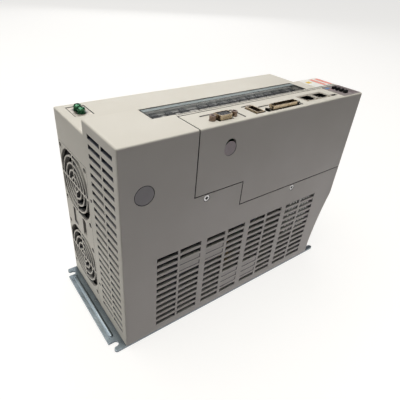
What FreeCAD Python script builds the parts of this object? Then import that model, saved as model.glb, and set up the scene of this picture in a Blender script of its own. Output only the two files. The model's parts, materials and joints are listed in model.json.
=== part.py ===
import FreeCAD
import Part
import math
import os

# Servo drive on a steel mounting plate. Millimetres, one STEP file per sub-part.
# Origin: centre of the mounting face of the plate. +Z points out of the plate to the drive's front.
# -X is the fan end, +X the display end, -Y the vented side, +Y the plain side over the heat sink.

# Overall size
PLATE_LENGTH = 250.0
WIDTH = 110.0
DEPTH = 180.0

# Mounting plate
PLATE_THICK = 2.3
PLATE_SIDE_GAP = 0.3
NOTCH_Y = 47.7
NOTCH_WIDTH = 5.4
NOTCH_DEPTH = 7.7
PRONG_SETBACK = 2.0
BEAD_INSET = 5.0
BEAD_Y = (-39.0, 42.0)
BEAD_WIDTH = 3.6
BEAD_HEIGHT = 1.4
GROOVE_WIDTH = 2.4
GROOVE_DEPTH = 1.0
PLATE_SCREWS = ((-62.0, -1.0), (14.0, -1.0), (88.0, -1.0))
PLATE_SCREW_R = 1.6
PLATE_SCREW_HEAD_R = 3.6
PLATE_SCREW_LENGTH = 12.0

# Housings
BODY_X0 = -113.5
BODY_X1 = 124.5
SPLIT_Y = -4.5
REAR_TOP = 169.6
WALL = 2.5
REAR_WALL = 1.5
STEP_WALL = 0.8
EDGE_RADIUS = 1.2
TOE_TOP_Z = 76.0
TOE_MID = (116.5, 48.0)
TOE_LOW = (111.0, 13.0)

# Control cover: an L in the side view, its seam in the front face
SEAM_GAP = 0.9
SEAM_Y = -28.4
COVER_X0 = -54.3
COVER_MID_X = -7.7
COVER_LOW_LEFT = 128.6
COVER_LOW_RIGHT = 107.2
LIP_WIDTH = 4.0
LIP_THICK = 1.5
FALSE_SEAM_Y = -26.3
FALSE_SEAM_WIDTH = 0.8
FALSE_SEAM_DEPTH = 1.2

# Vent slots in the -Y side
SIDE_SLOT_COLUMNS = ((-85.5, -66.5), (-64.5, -44.5), (-38.5, -19.5), (-16.5, 2.5),
                     (8.5, 27.0), (29.5, 48.5), (54.5, 73.0), (75.5, 95.5))
SIDE_SLOT_ROWS = 12
SIDE_SLOT_TOP = 82.3
SIDE_SLOT_PITCH = 6.44
SIDE_SLOT_HEIGHT = 4.0
BLIND_DEPTH = 0.5
BLIND_SLOTS = {1: (2, 3), 2: (2, 3), 3: (8, 9, 10), 4: (8, 9, 10)}

# Vent slots in the display end of the rear housing
REAR_SLOT_COLUMNS = ((2.0, 22.0), (28.0, 48.0))
REAR_SLOT_ROWS = 9
REAR_SLOT_FIRST = 86.0
REAR_SLOT_PITCH = 8.0
REAR_SLOT_HEIGHT = 4.0

# Vent slots in the fan end, beside the fan cover
END_SLOT_COLUMNS = ((-31.0, -12.0), (-49.0, -33.0))
END_SLOT_ROWS = 23
END_SLOT_TOP = 171.3
END_SLOT_PITCH = 7.15
END_SLOT_HEIGHT = 3.3

# Fans and their cover
FAN_Y = 25.0
FAN_Z = (115.0, 40.0)
FAN_SIZE = 56.6
FAN_DEPTH = 25.0
FAN_X0 = -109.3
FAN_HOLE_PITCH_Y = 50.0
FAN_HOLE_PITCH_Z = 49.0
FAN_DUCT_R = 27.0
FAN_BLADES = 7
FAN_TIP_R = 26.2
FAN_HUB_R = 13.5
FAN_SHAFT_R = 1.5
RUNNING_GAP = 0.05
COVER_PLATE_Y = (-3.5, 52.0)
COVER_PLATE_Z = (2.6, 143.5)
GUARD_RINGS = (6.0, 12.0, 17.8, 23.6)
GUARD_BAR = 1.4
GUARD_DEPTH = 4.0
GUARD_OPENING_R = 29.8
GUARD_FLAT = 26.6
SPOKE_WIDTH = 1.6
FAN_SCREW_R = 1.6
FAN_SCREW_HEAD_R = 2.2
BLADE_PITCH = 38.0
BLADE_CHORD = 15.0
BLADE_THICK = 1.2
COVER_WINDOW_Y = (10.5, 17.5)
COVER_POCKET_Y = (30.0, 38.0)
COVER_WINDOW_Z = (70.5, 87.0)
COVER_POCKET_DEPTH = 1.2

# Terminal well, block and cover
WELL_X = (-72.5, 85.0)
WELL_Y = (-25.0, SPLIT_Y - STEP_WALL)
WELL_WALL = 1.5
WELL_BOTTOM = 150.0
BLOCK_Y = (-21.6, -5.9)
BLOCK_TOP = 169.0
RIB_TOP = 176.7
RIB_THICK = 1.5
RIB_EDGES = (-63.0, -51.0, -38.5, -22.0, -12.0, -2.0, 8.5, 18.5, 29.0, 39.5, 49.5, 59.5, 69.5)
FLAP_X = (-71.0, 84.4)
FLAP_Y = (-22.2, -6.2)
FLAP_Z = (178.2, 179.7)
FLAP_PIVOT = (-7.3, 178.8)
FLAP_PIN_R = 0.8
TERMINAL_SCREW_Y = -13.5
TERMINAL_SCREW_R = 1.8
TERMINAL_HEAD_R = 3.3
TERMINAL_HEAD_HEIGHT = 2.6
CLAMP_SIDE = 7.4
CLAMP_Y = (-20.4, -6.6)
CLAMP_THICK = 1.0
LAST_RIB = (80.0, 81.5)

# Ground terminal in the rear top face
GROUND_X = (-106.5, -91.5)
GROUND_Y = (26.5, 48.5)
GROUND_SCREW_Y = (33.9, 41.1)
GROUND_PLATE_TOP = REAR_TOP - 0.3
GROUND_PLATE_GAP = 0.6
GROUND_SHANK_R = 2.0

# Heat sink
SINK_X = (-80.0, 104.0)
SINK_Y = (-4.0, 2.0)
SINK_TOP = 146.0
FIN_END_Y = 50.0
FIN_THICK = 1.6
FIN_PITCH = 6.2
FIN_FIRST_Z = 9.0
FIN_COUNT = 22

# Boards and their spacers
POWER_BOARD_X = (-79.0, 108.0)
POWER_BOARD_Y = (-20.0, -18.4)
POWER_BOARD_Z = (7.0, 147.5)
CONTROL_BOARD_X = (-50.0, 118.0)
CONTROL_BOARD_Y = (-36.0, -34.4)
CONTROL_BOARD_Z = (98.0, 172.0)
PANEL_BOARD_X = (89.5, 120.0)
PANEL_BOARD_Y = (-51.4, -32.4)
PANEL_BOARD_Z = (168.4, 170.0)
SINK_SPACERS = ((-74.0, 14.0), (-74.0, 140.0), (100.0, 14.0), (100.0, 140.0))
BOARD_SPACERS = ((-43.5, 142.0), (28.0, 142.0), (112.0, 142.0), (28.0, 103.0), (112.0, 103.0))
SPACER_FLATS = 5.0
SPACER_STUD_R = 1.5
BOARD_SCREW_R = 1.2
LINK_X = (-20.0, 8.0)
LINK_Z = (110.0, 115.0)

# Parts on the power board (heights are measured from the board towards -Y)
CAPACITOR_X = (-62.0, -34.5)
CAPACITOR_Z = (26.0, 54.0)
CAPACITOR_R = 12.0
CAPACITOR_LENGTH = 29.0
TRANSFORMER = (-8.0, 52.0)
TRANSFORMER_SIZE = (26.0, 24.0)
TRANSFORMER_WINDOW = (17.0, 15.0)
TRANSFORMER_Y = (-44.0, -22.0)
LIMB_R = 4.0
WINDING_R = 7.2
RELAY_X = (14.0, 33.0)
RELAY_Z = (62.0, 78.0)
RELAY_HEIGHT = 20.0
RESISTOR_X = (58.0, 90.0)
RESISTOR_Z = (46.0, 60.0, 74.0)
RESISTOR_WIDTH = 9.0
RESISTOR_HEIGHT = 22.0

# Power semiconductors on the heat sink
PAD_THICK = 0.4
MODULE_X = (-30.0, 50.0)
MODULE_Z = (82.0, 128.0)
MODULE_FACE_Y = -16.0
MODULE_PIN_Z = (86.0, 124.0)
RECTIFIER_X = (66.0, 96.0)
RECTIFIER_Z = (90.0, 118.0)
RECTIFIER_FACE_Y = -14.0
PIN_R = 0.6

# Connectors in the control cover (centre x, centre y)
SERIAL = (-26.6, -43.9)
SERIAL_SHELL = (13.0, 7.6)
SERIAL_LUG_PITCH = 19.6
ENCODER = (4.5, -43.0)
ENCODER_SHELL = (7.8, 13.6)
SIGNAL = (30.2, -47.4)
SIGNAL_SHELL = (26.6, 5.4)
LATCHES = ((11.4, 15.6), (44.6, 48.4))
SHELL_PROUD = 3.0
LUG_PROUD = 3.0
LUG_FLATS = 4.2
LUG_BORE_R = 1.2
SOCKET_FOOT = 162.0
PIN_PITCH = 2.1
PIN_ROW_Y = 1.1
CONTACT_R = 0.5
SIGNAL_PITCH = 1.2
SIGNAL_CONTACTS = 18
LATCH_Y = (-47.6, -46.6)
JACK_FOOT = 160.0
JACK_FLOOR = 163.0
JACK_CONTACT_PITCH = 1.02
JACKS = ((65.0, -42.3), (81.0, -42.3))
JACK_SIZE = (15.0, 12.6)
JACK_MOUTH = (10.2, 7.4)
USB = (93.2, -47.2)
USB_SIZE = (6.4, 2.8)

# Keys and display
KEY_X = 108.7
KEY_FIRST_Y = -36.2
KEY_PITCH = 3.95
KEY_SIZE = (4.8, 2.1)
KEY_PROUD = 2.4
KEY_CLEAR = 0.2
DISPLAY_X = (113.8, 121.4)
DISPLAY_Y = (-51.5, -31.8)
FILM_X = (99.6, 123.4)
FILM_Y = (-53.6, -29.8)

# Side details
KNOCKOUT = (-95.5, 143.3)
KNOCKOUT_R = 7.0
DOT = (-26.5, 160.6)
DOT_R = 5.4
DOT_HOLE_R = 5.0
DOT_HOLE_RISE = 2.6
DISC_GAP = 0.5
SIDE_SCREWS = ((-43.5, 124.5), (56.0, 103.0))

FACE_Y = -WIDTH / 2
X_AXIS = FreeCAD.Vector(1, 0, 0)
Y_AXIS = FreeCAD.Vector(0, 1, 0)
Z_AXIS = FreeCAD.Vector(0, 0, 1)


def vec(x, y, z):
    return FreeCAD.Vector(x, y, z)


def save(name, shape):
    """One named sub-part to its STEP file."""
    shape.removeSplitter().exportStep("parts/" + name + ".step")


def block(x, y, z):
    """Box from three (low, high) pairs."""
    return Part.makeBox(x[1] - x[0], y[1] - y[0], z[1] - z[0], vec(x[0], y[0], z[0]))


def pair(centre, size):
    """(low, high) of a stretch with this centre and size."""
    return (centre - size / 2, centre + size / 2)


def fuse(shapes):
    shapes = list(shapes)
    return shapes[0].multiFuse(shapes[1:]) if len(shapes) > 1 else shapes[0]


def group(shapes):
    return Part.makeCompound(list(shapes))


def rod_x(r, x, y, z):
    """Cylinder along X over the (low, high) pair x."""
    return Part.makeCylinder(r, x[1] - x[0], vec(x[0], y, z), X_AXIS)


def rod_y(r, x, y, z):
    return Part.makeCylinder(r, y[1] - y[0], vec(x, y[0], z), Y_AXIS)


def rod_z(r, x, y, z):
    return Part.makeCylinder(r, z[1] - z[0], vec(x, y, z[0]), Z_AXIS)


def hexagon_z(across_flats, x, y, z):
    """Hexagonal prism along Z."""
    r = across_flats / math.sqrt(3.0)
    points = [vec(x + r * math.cos(k * math.pi / 3), y + r * math.sin(k * math.pi / 3), z[0])
              for k in range(7)]
    return Part.Face(Part.makePolygon(points)).extrude(vec(0, 0, z[1] - z[0]))


def soft_box(x, y, z, radius, axis):
    """Box whose four edges along one axis are rounded."""
    shape = block(x, y, z)
    edges = [e for e in shape.Edges if abs(abs(e.tangentAt(e.FirstParameter).dot(axis)) - 1) < 1e-6]
    return shape.makeFillet(radius, edges)


def body_profile(inset, top, bottom):
    """Side view of the housing in the XZ plane, with the toe curve at the display end."""
    x0, x1 = BODY_X0 + inset, BODY_X1 - inset
    toe = vec(x1, 0, TOE_TOP_Z)
    low = vec(TOE_LOW[0] - inset, 0, TOE_LOW[1])
    arc = Part.Arc(toe, vec(TOE_MID[0] - inset, 0, TOE_MID[1]), low).toShape()
    corners = [low, vec(low.x, 0, bottom), vec(x0, 0, bottom), vec(x0, 0, top), vec(x1, 0, top), toe]
    return Part.Face(Part.Wire([arc] + Part.makePolygon(corners).Edges))


def body_solid(inset, y, top, bottom):
    face = body_profile(inset, top, bottom)
    face.translate(vec(0, y[0], 0))
    return face.extrude(vec(0, y[1] - y[0], 0))


def rounded_body(y, top, outer_y):
    """Housing block with rounded top and outer side edges."""
    shape = body_solid(0, y, top, PLATE_THICK)
    edges = []
    for edge in shape.Edges:
        box = edge.BoundBox
        on_side = abs(box.YMin - outer_y) < 1e-6 and abs(box.YMax - outer_y) < 1e-6
        on_top = abs(box.ZMin - top) < 1e-6 and box.YLength > 1
        if (on_side and box.ZMax > PLATE_THICK + 1) or on_top:
            edges.append(edge)
    return shape.makeFillet(EDGE_RADIUS, edges)


def cover_region(grow, y_limit):
    """Space that the control cover takes out of the housing, grown by the seam gap."""
    x0, xm = COVER_X0 - grow, COVER_MID_X - grow
    z_left, z_right = COVER_LOW_LEFT - grow, COVER_LOW_RIGHT - grow
    beyond = 10.0
    points = [vec(x0, 0, DEPTH + beyond), vec(x0, 0, z_left), vec(xm, 0, z_left), vec(xm, 0, z_right),
              vec(BODY_X1 + beyond, 0, z_right), vec(BODY_X1 + beyond, 0, DEPTH + beyond)]
    face = Part.Face(Part.makePolygon(points + points[:1]))
    face.translate(vec(0, FACE_Y - beyond, 0))
    return face.extrude(vec(0, y_limit + grow - FACE_Y + beyond, 0))


def side_shell():
    """Outer skin of the electronics half, before the control cover is parted from it."""
    outer = rounded_body((FACE_Y, SPLIT_Y), DEPTH, FACE_Y)
    inner = body_solid(WALL, (FACE_Y + WALL, SPLIT_Y), DEPTH - WALL, -1)
    wall = block((BODY_X0 + 1, BODY_X1 - 1), (SPLIT_Y - STEP_WALL, SPLIT_Y), (REAR_TOP - WALL, DEPTH - 1))
    return outer.cut(inner).fuse(wall)


def side_slots():
    """Vent slots in the -Y side: most go through, a few are blind."""
    cuts = []
    for column, x in enumerate(SIDE_SLOT_COLUMNS):
        for row in range(SIDE_SLOT_ROWS):
            z = SIDE_SLOT_TOP - row * SIDE_SLOT_PITCH
            blind = row in BLIND_SLOTS.get(column, ())
            depth = BLIND_DEPTH if blind else WALL + 1
            cuts.append(block(x, (FACE_Y - 1, FACE_Y + depth), pair(z, SIDE_SLOT_HEIGHT)))
    return cuts


def end_slots():
    """Vent slots in the fan end of the electronics half."""
    cuts = []
    for y in END_SLOT_COLUMNS:
        for row in range(END_SLOT_ROWS):
            z = END_SLOT_TOP - row * END_SLOT_PITCH
            cuts.append(block((BODY_X0 - 1, BODY_X0 + WALL + 1), y, pair(z, END_SLOT_HEIGHT)))
    return cuts


def seam_lips():
    """Ledge behind the seam, which the control cover rests on."""
    y_in = (FACE_Y + WALL, FACE_Y + WALL + LIP_THICK)
    z_in = (DEPTH - WALL - LIP_THICK, DEPTH - WALL)
    x_end = (BODY_X1 - WALL - LIP_THICK, BODY_X1 - WALL)
    y_seam = (SEAM_Y - LIP_WIDTH / 2 - SEAM_GAP, SEAM_Y + LIP_WIDTH / 2)
    left = pair(COVER_X0, 2 * LIP_WIDTH)
    mid = pair(COVER_MID_X, 2 * LIP_WIDTH)
    high = pair(COVER_LOW_LEFT, 2 * LIP_WIDTH)
    low = pair(COVER_LOW_RIGHT, 2 * LIP_WIDTH)
    to_end = BODY_X1 - WALL
    return [block(left, y_in, (high[0], DEPTH - WALL)),
            block((left[0], mid[1]), y_in, high),
            block(mid, y_in, (low[0], high[1])),
            block((mid[0], to_end), y_in, low),
            block(left, (y_in[0], y_seam[1]), z_in),
            block((left[0], to_end), y_seam, z_in),
            block(x_end, (y_in[0], y_seam[1]), low),
            block(x_end, y_seam, (low[0], DEPTH - WALL))]


def side_housing():
    shell = side_shell().cut(cover_region(SEAM_GAP, SEAM_Y - SEAM_GAP))
    well = block((WELL_X[0] - WELL_WALL, WELL_X[1] + WELL_WALL), (WELL_Y[0] - WELL_WALL, SPLIT_Y),
                 (WELL_BOTTOM, DEPTH - WALL))
    shell = fuse([shell, well] + seam_lips())
    pivot_y, pivot_z = FLAP_PIVOT
    knock_x, knock_z = KNOCKOUT
    cuts = side_slots() + end_slots()
    cuts.append(block(WELL_X, WELL_Y, (WELL_BOTTOM - 1, DEPTH + 1)))
    cuts.append(rod_x(FLAP_PIN_R + RUNNING_GAP, (WELL_X[0] - WELL_WALL - 0.5, WELL_X[1] + WELL_WALL + 0.5),
                      pivot_y, pivot_z))
    cuts.append(block((COVER_X0, BODY_X1 + 1), pair(FALSE_SEAM_Y, FALSE_SEAM_WIDTH),
                      (DEPTH - FALSE_SEAM_DEPTH, DEPTH + 1)))
    cuts.append(rod_y(KNOCKOUT_R + DISC_GAP, knock_x, (FACE_Y - 1, FACE_Y + 1.7), knock_z))
    cuts.append(rod_y(KNOCKOUT_R - 1.5, knock_x, (FACE_Y - 1, FACE_Y + WALL + 1), knock_z))
    for z in (118.0, 32.0):
        cuts.append(rod_x(1.5, (BODY_X0 - 1, BODY_X0 + WALL + 1), -7.6, z))
    for x, z in SIDE_SCREWS:
        cuts.append(rod_y(2.9, x, (FACE_Y - 1, FACE_Y + 1.4), z))
        cuts.append(rod_y(1.7, x, (FACE_Y - 1, FACE_Y + WALL + LIP_THICK + 1), z))
    return shell.cut(group(cuts))


def connector_cuts():
    """Recesses and openings for the connectors in the control cover's front face."""
    shallow = (DEPTH - 0.7, DEPTH + 1)
    through = (DEPTH - WALL - 1, DEPTH + 1)
    cuts = [soft_box((-41.5, -11.0), (-51.2, -35.0), shallow, 1.5, Z_AXIS),
            soft_box((-1.6, 9.2), (-50.6, -33.8), shallow, 1.2, Z_AXIS),
            soft_box((10.2, 49.8), (-51.4, -39.5), shallow, 1.2, Z_AXIS)]
    for centre, size in ((SERIAL, SERIAL_SHELL), (ENCODER, ENCODER_SHELL), (SIGNAL, SIGNAL_SHELL),
                         (USB, USB_SIZE)):
        cuts.append(block(pair(centre[0], size[0] + 0.6), pair(centre[1], size[1] + 0.4), through))
    for centre in JACKS:
        cuts.append(block(pair(centre[0], JACK_SIZE[0] + 0.3), pair(centre[1], JACK_SIZE[1] + 0.3), through))
    for side in (-1, 1):
        cuts.append(rod_z(2.5, SERIAL[0] + side * SERIAL_LUG_PITCH / 2, SERIAL[1], through))
    for x in LATCHES:
        cuts.append(block((x[0] - 0.4, x[1] + 0.4), (-50.6, -46.4), through))
    return cuts


def key_centres():
    return [(KEY_X, KEY_FIRST_Y - k * KEY_PITCH) for k in range(4)]


def key_hole_cuts(clearance, z):
    return [block(pair(x, KEY_SIZE[0] + 2 * clearance), pair(y, KEY_SIZE[1] + 2 * clearance), z)
            for x, y in key_centres()]


def control_cover():
    shell = side_shell().common(cover_region(0, SEAM_Y - SEAM_GAP))
    cuts = connector_cuts() + key_hole_cuts(KEY_CLEAR, (DEPTH - WALL - 1, DEPTH + 1))
    cuts.append(block(DISPLAY_X, DISPLAY_Y, (DEPTH - WALL - 1, DEPTH + 1)))
    dot_x, dot_z = DOT
    recess = (FACE_Y - 1, FACE_Y + 0.5)
    cuts.append(rod_y(DOT_R + 0.2, dot_x, recess, dot_z))
    cuts.append(rod_y(DOT_HOLE_R, dot_x, (FACE_Y - 1, FACE_Y + WALL + 1), dot_z + DOT_HOLE_RISE))
    return shell.cut(group(cuts))


def fan_cover_window(grow):
    """Opening of the rear housing's end wall that the fan cover fills."""
    return block((BODY_X0 - 1, BODY_X0 + WALL + 0.01), (COVER_PLATE_Y[0] - grow, COVER_PLATE_Y[1] + grow),
                 (COVER_PLATE_Z[0] - grow, COVER_PLATE_Z[1] + grow))


def rear_housing():
    """Plain shell over the heat sink, open towards the electronics half and the plate."""
    outer = rounded_body((SPLIT_Y, WIDTH / 2), REAR_TOP, WIDTH / 2)
    inner = body_solid(WALL, (SPLIT_Y - 1, WIDTH / 2 - REAR_WALL), REAR_TOP - WALL, -1)
    cuts = [fan_cover_window(0.3)]
    cuts.append(soft_box(GROUND_X, GROUND_Y, (REAR_TOP - WALL - 1, REAR_TOP + 1), 0.8, Z_AXIS))
    for y in REAR_SLOT_COLUMNS:
        for row in range(REAR_SLOT_ROWS):
            z = REAR_SLOT_FIRST + row * REAR_SLOT_PITCH
            cuts.append(block((BODY_X1 - WALL - 1, BODY_X1 + 1), y, pair(z, REAR_SLOT_HEIGHT)))
    shell = outer.cut(inner).cut(group(cuts))
    ledge_z = (REAR_TOP - WALL - 2.4, REAR_TOP - WALL - 1.0)
    ledge_x = (BODY_X0 + WALL, GROUND_X[1] + 3)
    ledge = block(ledge_x, (GROUND_Y[0] - 3, WIDTH / 2 - REAR_WALL), ledge_z)
    return shell.fuse(ledge)


def guard(z):
    """Round finger guard: rings on a cross of two spokes."""
    x = (BODY_X0, BODY_X0 + GUARD_DEPTH)
    rings = [rod_x(r + GUARD_BAR / 2, x, FAN_Y, z).cut(rod_x(r - GUARD_BAR / 2, x, FAN_Y, z))
             for r in GUARD_RINGS]
    reach = 2 * GUARD_FLAT + 0.8
    spokes = [block(x, pair(FAN_Y, reach), pair(z, SPOKE_WIDTH)),
              block(x, pair(FAN_Y, SPOKE_WIDTH), pair(z, reach))]
    return rings + spokes


def guard_opening(z):
    x = (BODY_X0 - 1, BODY_X0 + WALL + 1)
    flats = block(x, pair(FAN_Y, 2 * GUARD_FLAT), pair(z, 2 * GUARD_FLAT))
    return rod_x(GUARD_OPENING_R, x, FAN_Y, z).common(flats)


def fan_holes(z):
    """Centres of the four fan screw holes."""
    return [(FAN_Y + sy * FAN_HOLE_PITCH_Y / 2, z + sz * FAN_HOLE_PITCH_Z / 2)
            for sy in (-1, 1) for sz in (-1, 1)]


def fan_cover():
    plate = block((BODY_X0, BODY_X0 + WALL), COVER_PLATE_Y, COVER_PLATE_Z)
    through = (BODY_X0 - 1, BODY_X0 + WALL + 1)
    cuts = [guard_opening(z) for z in FAN_Z]
    cuts += [rod_x(2.3, through, y, hole_z) for z in FAN_Z for y, hole_z in fan_holes(z)]
    pocket = (BODY_X0 - 1, BODY_X0 + COVER_POCKET_DEPTH)
    cuts.append(soft_box(through, COVER_WINDOW_Y, COVER_WINDOW_Z, 1.0, X_AXIS))
    cuts.append(soft_box(pocket, COVER_POCKET_Y, COVER_WINDOW_Z, 1.0, X_AXIS))
    plate = plate.cut(group(cuts))
    return fuse([plate] + [piece for z in FAN_Z for piece in guard(z)])


def fan_frame(z):
    """Square fan frame with its duct, screw holes and the motor base on four struts."""
    x = (FAN_X0, FAN_X0 + FAN_DEPTH)
    base_x = (x[1] - 3.0, x[1])
    frame = soft_box(x, pair(FAN_Y, FAN_SIZE), pair(z, FAN_SIZE), 3.5, X_AXIS)
    waist = []
    for sy in (-1, 1):
        for sz in (-1, 1):
            corner = block((x[0] + 4, x[1] - 4), pair(FAN_Y + sy * FAN_SIZE / 2, 9.0),
                           pair(z + sz * FAN_SIZE / 2, 9.0))
            waist.append(corner)
    frame = frame.cut(group([rod_x(FAN_DUCT_R, x, FAN_Y, z)] + waist))
    frame = frame.cut(group([rod_x(2.0, x, y, hole_z) for y, hole_z in fan_holes(z)]))
    hub = rod_x(FAN_HUB_R, base_x, FAN_Y, z)
    for k in range(4):
        strut = block(base_x, (FAN_Y + FAN_HUB_R - 1, FAN_Y + FAN_DUCT_R + 0.6), pair(z, 3.0))
        strut.rotate(vec(0, FAN_Y, z), X_AXIS, 45 + 90 * k)
        hub = hub.fuse(strut)
    return frame.fuse(hub).cut(rod_x(FAN_SHAFT_R, base_x, FAN_Y, z))


def fan_blade(z, angle):
    """One pitched blade, from inside the hub wall to the tip."""
    middle = FAN_X0 + 10.0
    root = z + FAN_HUB_R - 1.2
    blade = block(pair(middle, BLADE_CHORD), pair(FAN_Y, BLADE_THICK), (root, z + FAN_TIP_R + 2))
    blade.rotate(vec(middle, FAN_Y, z), Z_AXIS, BLADE_PITCH)
    tip = rod_x(FAN_TIP_R, (FAN_X0, FAN_X0 + FAN_DEPTH), FAN_Y, z)
    blade = blade.common(tip)
    blade.rotate(vec(0, FAN_Y, z), X_AXIS, angle)
    return blade


def fan_rotor(z):
    """Rotor cup that runs on the shaft, with its blades."""
    x0 = FAN_X0 + 1.5
    x1 = FAN_X0 + FAN_DEPTH - 4.5
    cup = rod_x(FAN_HUB_R, (x0, x1), FAN_Y, z).cut(rod_x(FAN_HUB_R - 2.0, (x0 + 2.0, x1 + 1), FAN_Y, z))
    boss = rod_x(3.5, (x0, x0 + 5.0), FAN_Y, z)
    blades = [fan_blade(z, k * 360.0 / FAN_BLADES) for k in range(FAN_BLADES)]
    rotor = fuse([cup, boss] + blades)
    return rotor.cut(rod_x(FAN_SHAFT_R + RUNNING_GAP, (x0 + 1.0, x0 + 6.0), FAN_Y, z))


def fan_shaft(z):
    """Fixed shaft with the stator coil pressed on it."""
    x1 = FAN_X0 + FAN_DEPTH
    shaft = rod_x(FAN_SHAFT_R, (FAN_X0 + 3.0, x1), FAN_Y, z)
    stator = rod_x(FAN_HUB_R - 3.5, (FAN_X0 + 8.0, x1 - 3.5), FAN_Y, z)
    return shaft.fuse(stator)


def fan_screws():
    screws = []
    for z in FAN_Z:
        for y, hole_z in fan_holes(z):
            head = rod_x(FAN_SCREW_HEAD_R, (FAN_X0 - 1.6, FAN_X0), y, hole_z)
            cross = [block((FAN_X0 - 2, FAN_X0 - 1.0), pair(y, 0.6), pair(hole_z, 2.8)),
                     block((FAN_X0 - 2, FAN_X0 - 1.0), pair(y, 2.8), pair(hole_z, 0.6))]
            shank = rod_x(FAN_SCREW_R, (FAN_X0, FAN_X0 + FAN_DEPTH - 1), y, hole_z)
            screws.append(head.cut(group(cross)).fuse(shank))
    return group(screws)


def base_plate():
    half = PLATE_LENGTH / 2
    half_w = WIDTH / 2 - PLATE_SIDE_GAP
    plate = block((-half, half), (-half_w, half_w), (0, PLATE_THICK))
    cuts, beads, grooves = [], [], []
    tall = (-1, PLATE_THICK + 1)
    notch_low = NOTCH_Y - NOTCH_WIDTH / 2
    notch_high = NOTCH_Y + NOTCH_WIDTH / 2
    slot_end = half - NOTCH_DEPTH + NOTCH_WIDTH / 2
    tip_x = half - PRONG_SETBACK
    tip_r = (half_w - notch_high) / 2
    for sx in (-1, 1):
        for sy in (-1, 1):
            slot = block((slot_end, half + 1), (notch_low, notch_high), tall)
            slot = slot.fuse(rod_z(NOTCH_WIDTH / 2, slot_end, NOTCH_Y, tall))
            prong = block((tip_x - tip_r, half + 1), (notch_high, half_w + 1), tall)
            prong = prong.cut(rod_z(tip_r, tip_x - tip_r, notch_high + tip_r, tall))
            tool = slot.fuse(prong)
            if sy < 0:
                tool = tool.mirror(vec(0, 0, 0), Y_AXIS)
            if sx < 0:
                tool = tool.mirror(vec(0, 0, 0), X_AXIS)
            cuts.append(tool)
        bead_x = sx * (half - BEAD_INSET)
        beads.append(bead_run(bead_x, PLATE_THICK, BEAD_WIDTH, BEAD_HEIGHT))
        grooves.append(bead_run(bead_x, 0, GROOVE_WIDTH, GROOVE_DEPTH))
    cuts += [screw_cone(x, y) for x, y in PLATE_SCREWS]
    return fuse([plate] + beads).cut(group(cuts + grooves))


def bead_run(x, z, width, height):
    """Pressed bead along Y, round in section and at its ends, standing on the level z."""
    radius = (width ** 2 / 4 + height ** 2) / (2 * height)
    axis_z = z + height - radius
    ends = [Part.makeSphere(radius, vec(x, y, axis_z)) for y in BEAD_Y]
    above = block(pair(x, 4 * radius), (BEAD_Y[0] - 2 * radius, BEAD_Y[1] + 2 * radius), (z, z + height))
    return fuse([rod_y(radius, x, BEAD_Y, axis_z)] + ends).common(above)


def screw_cone(x, y):
    """Flat screw head that enters the plate from below, or the countersink for it."""
    return Part.makeCone(PLATE_SCREW_HEAD_R, PLATE_SCREW_R + 0.2, PLATE_THICK, vec(x, y, 0), Z_AXIS)


def plate_screw_shank(x, y):
    return rod_z(PLATE_SCREW_R, x, y, (PLATE_THICK, PLATE_THICK + PLATE_SCREW_LENGTH))


def plate_screws():
    screws = []
    for x, y in PLATE_SCREWS:
        socket = hexagon_z(2.0, x, y, (-0.5, 1.2))
        screws.append(screw_cone(x, y).fuse(plate_screw_shank(x, y)).cut(socket))
    return group(screws)


def heat_sink():
    """Extrusion: an upright base with fins that run along the air path."""
    pieces = [block(SINK_X, SINK_Y, (PLATE_THICK, SINK_TOP))]
    for k in range(FIN_COUNT):
        z = FIN_FIRST_Z + k * FIN_PITCH
        pieces.append(block(SINK_X, (SINK_Y[1] - 0.1, FIN_END_Y), (z, z + FIN_THICK)))
    holes = [plate_screw_shank(x, y) for x, y in PLATE_SCREWS]
    holes += [rod_y(SPACER_STUD_R, x, (SINK_Y[0], SINK_Y[0] + 4), z) for x, z in SINK_SPACERS]
    return fuse(pieces).cut(group(holes))


def standoff(x, y, z, stud):
    """Hexagonal spacer along Y with a stud at its far (+Y) end."""
    spacer = hexagon_z(SPACER_FLATS, 0, 0, (0, y[1] - y[0]))
    spacer.rotate(vec(0, 0, 0), X_AXIS, -90)
    spacer.translate(vec(x, y[0], z))
    return spacer.fuse(rod_y(SPACER_STUD_R, x, (y[1], y[1] + stud), z))


def board_standoffs():
    lower = [standoff(x, (POWER_BOARD_Y[1], SINK_Y[0]), z, 4.0) for x, z in SINK_SPACERS]
    upper = [standoff(x, (CONTROL_BOARD_Y[1], POWER_BOARD_Y[0]), z, 1.6) for x, z in BOARD_SPACERS]
    posts = [standoff(x, (FACE_Y + WALL + LIP_THICK + 0.6, CONTROL_BOARD_Y[0]), z, 1.6)
             for x, z in SIDE_SCREWS]
    threads = [rod_y(1.25, x, (FACE_Y, FACE_Y + 9.0), z) for x, z in SIDE_SCREWS]
    return group(lower + upper + [post.cut(hole) for post, hole in zip(posts, threads)])


def pan_screw_y(x, y, z, length):
    """Pan-head screw along Y, its head towards -Y and its head's underside at y."""
    head = rod_y(2.6, x, (y - 1.8, y), z)
    cross = [block(pair(x, 0.7), (y - 2, y - 1.0), pair(z, 3.2)),
             block(pair(x, 3.2), (y - 2, y - 1.0), pair(z, 0.7))]
    return head.cut(group(cross)).fuse(rod_y(BOARD_SCREW_R, x, (y, y + length), z))


def board_screws():
    """Screws through the boards into the spacers behind them."""
    power = [pan_screw_y(x, POWER_BOARD_Y[0], z, 1.6) for x, z in SINK_SPACERS]
    control = [pan_screw_y(x, CONTROL_BOARD_Y[0], z, 1.6) for x, z in BOARD_SPACERS]
    return group(power + control)


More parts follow.
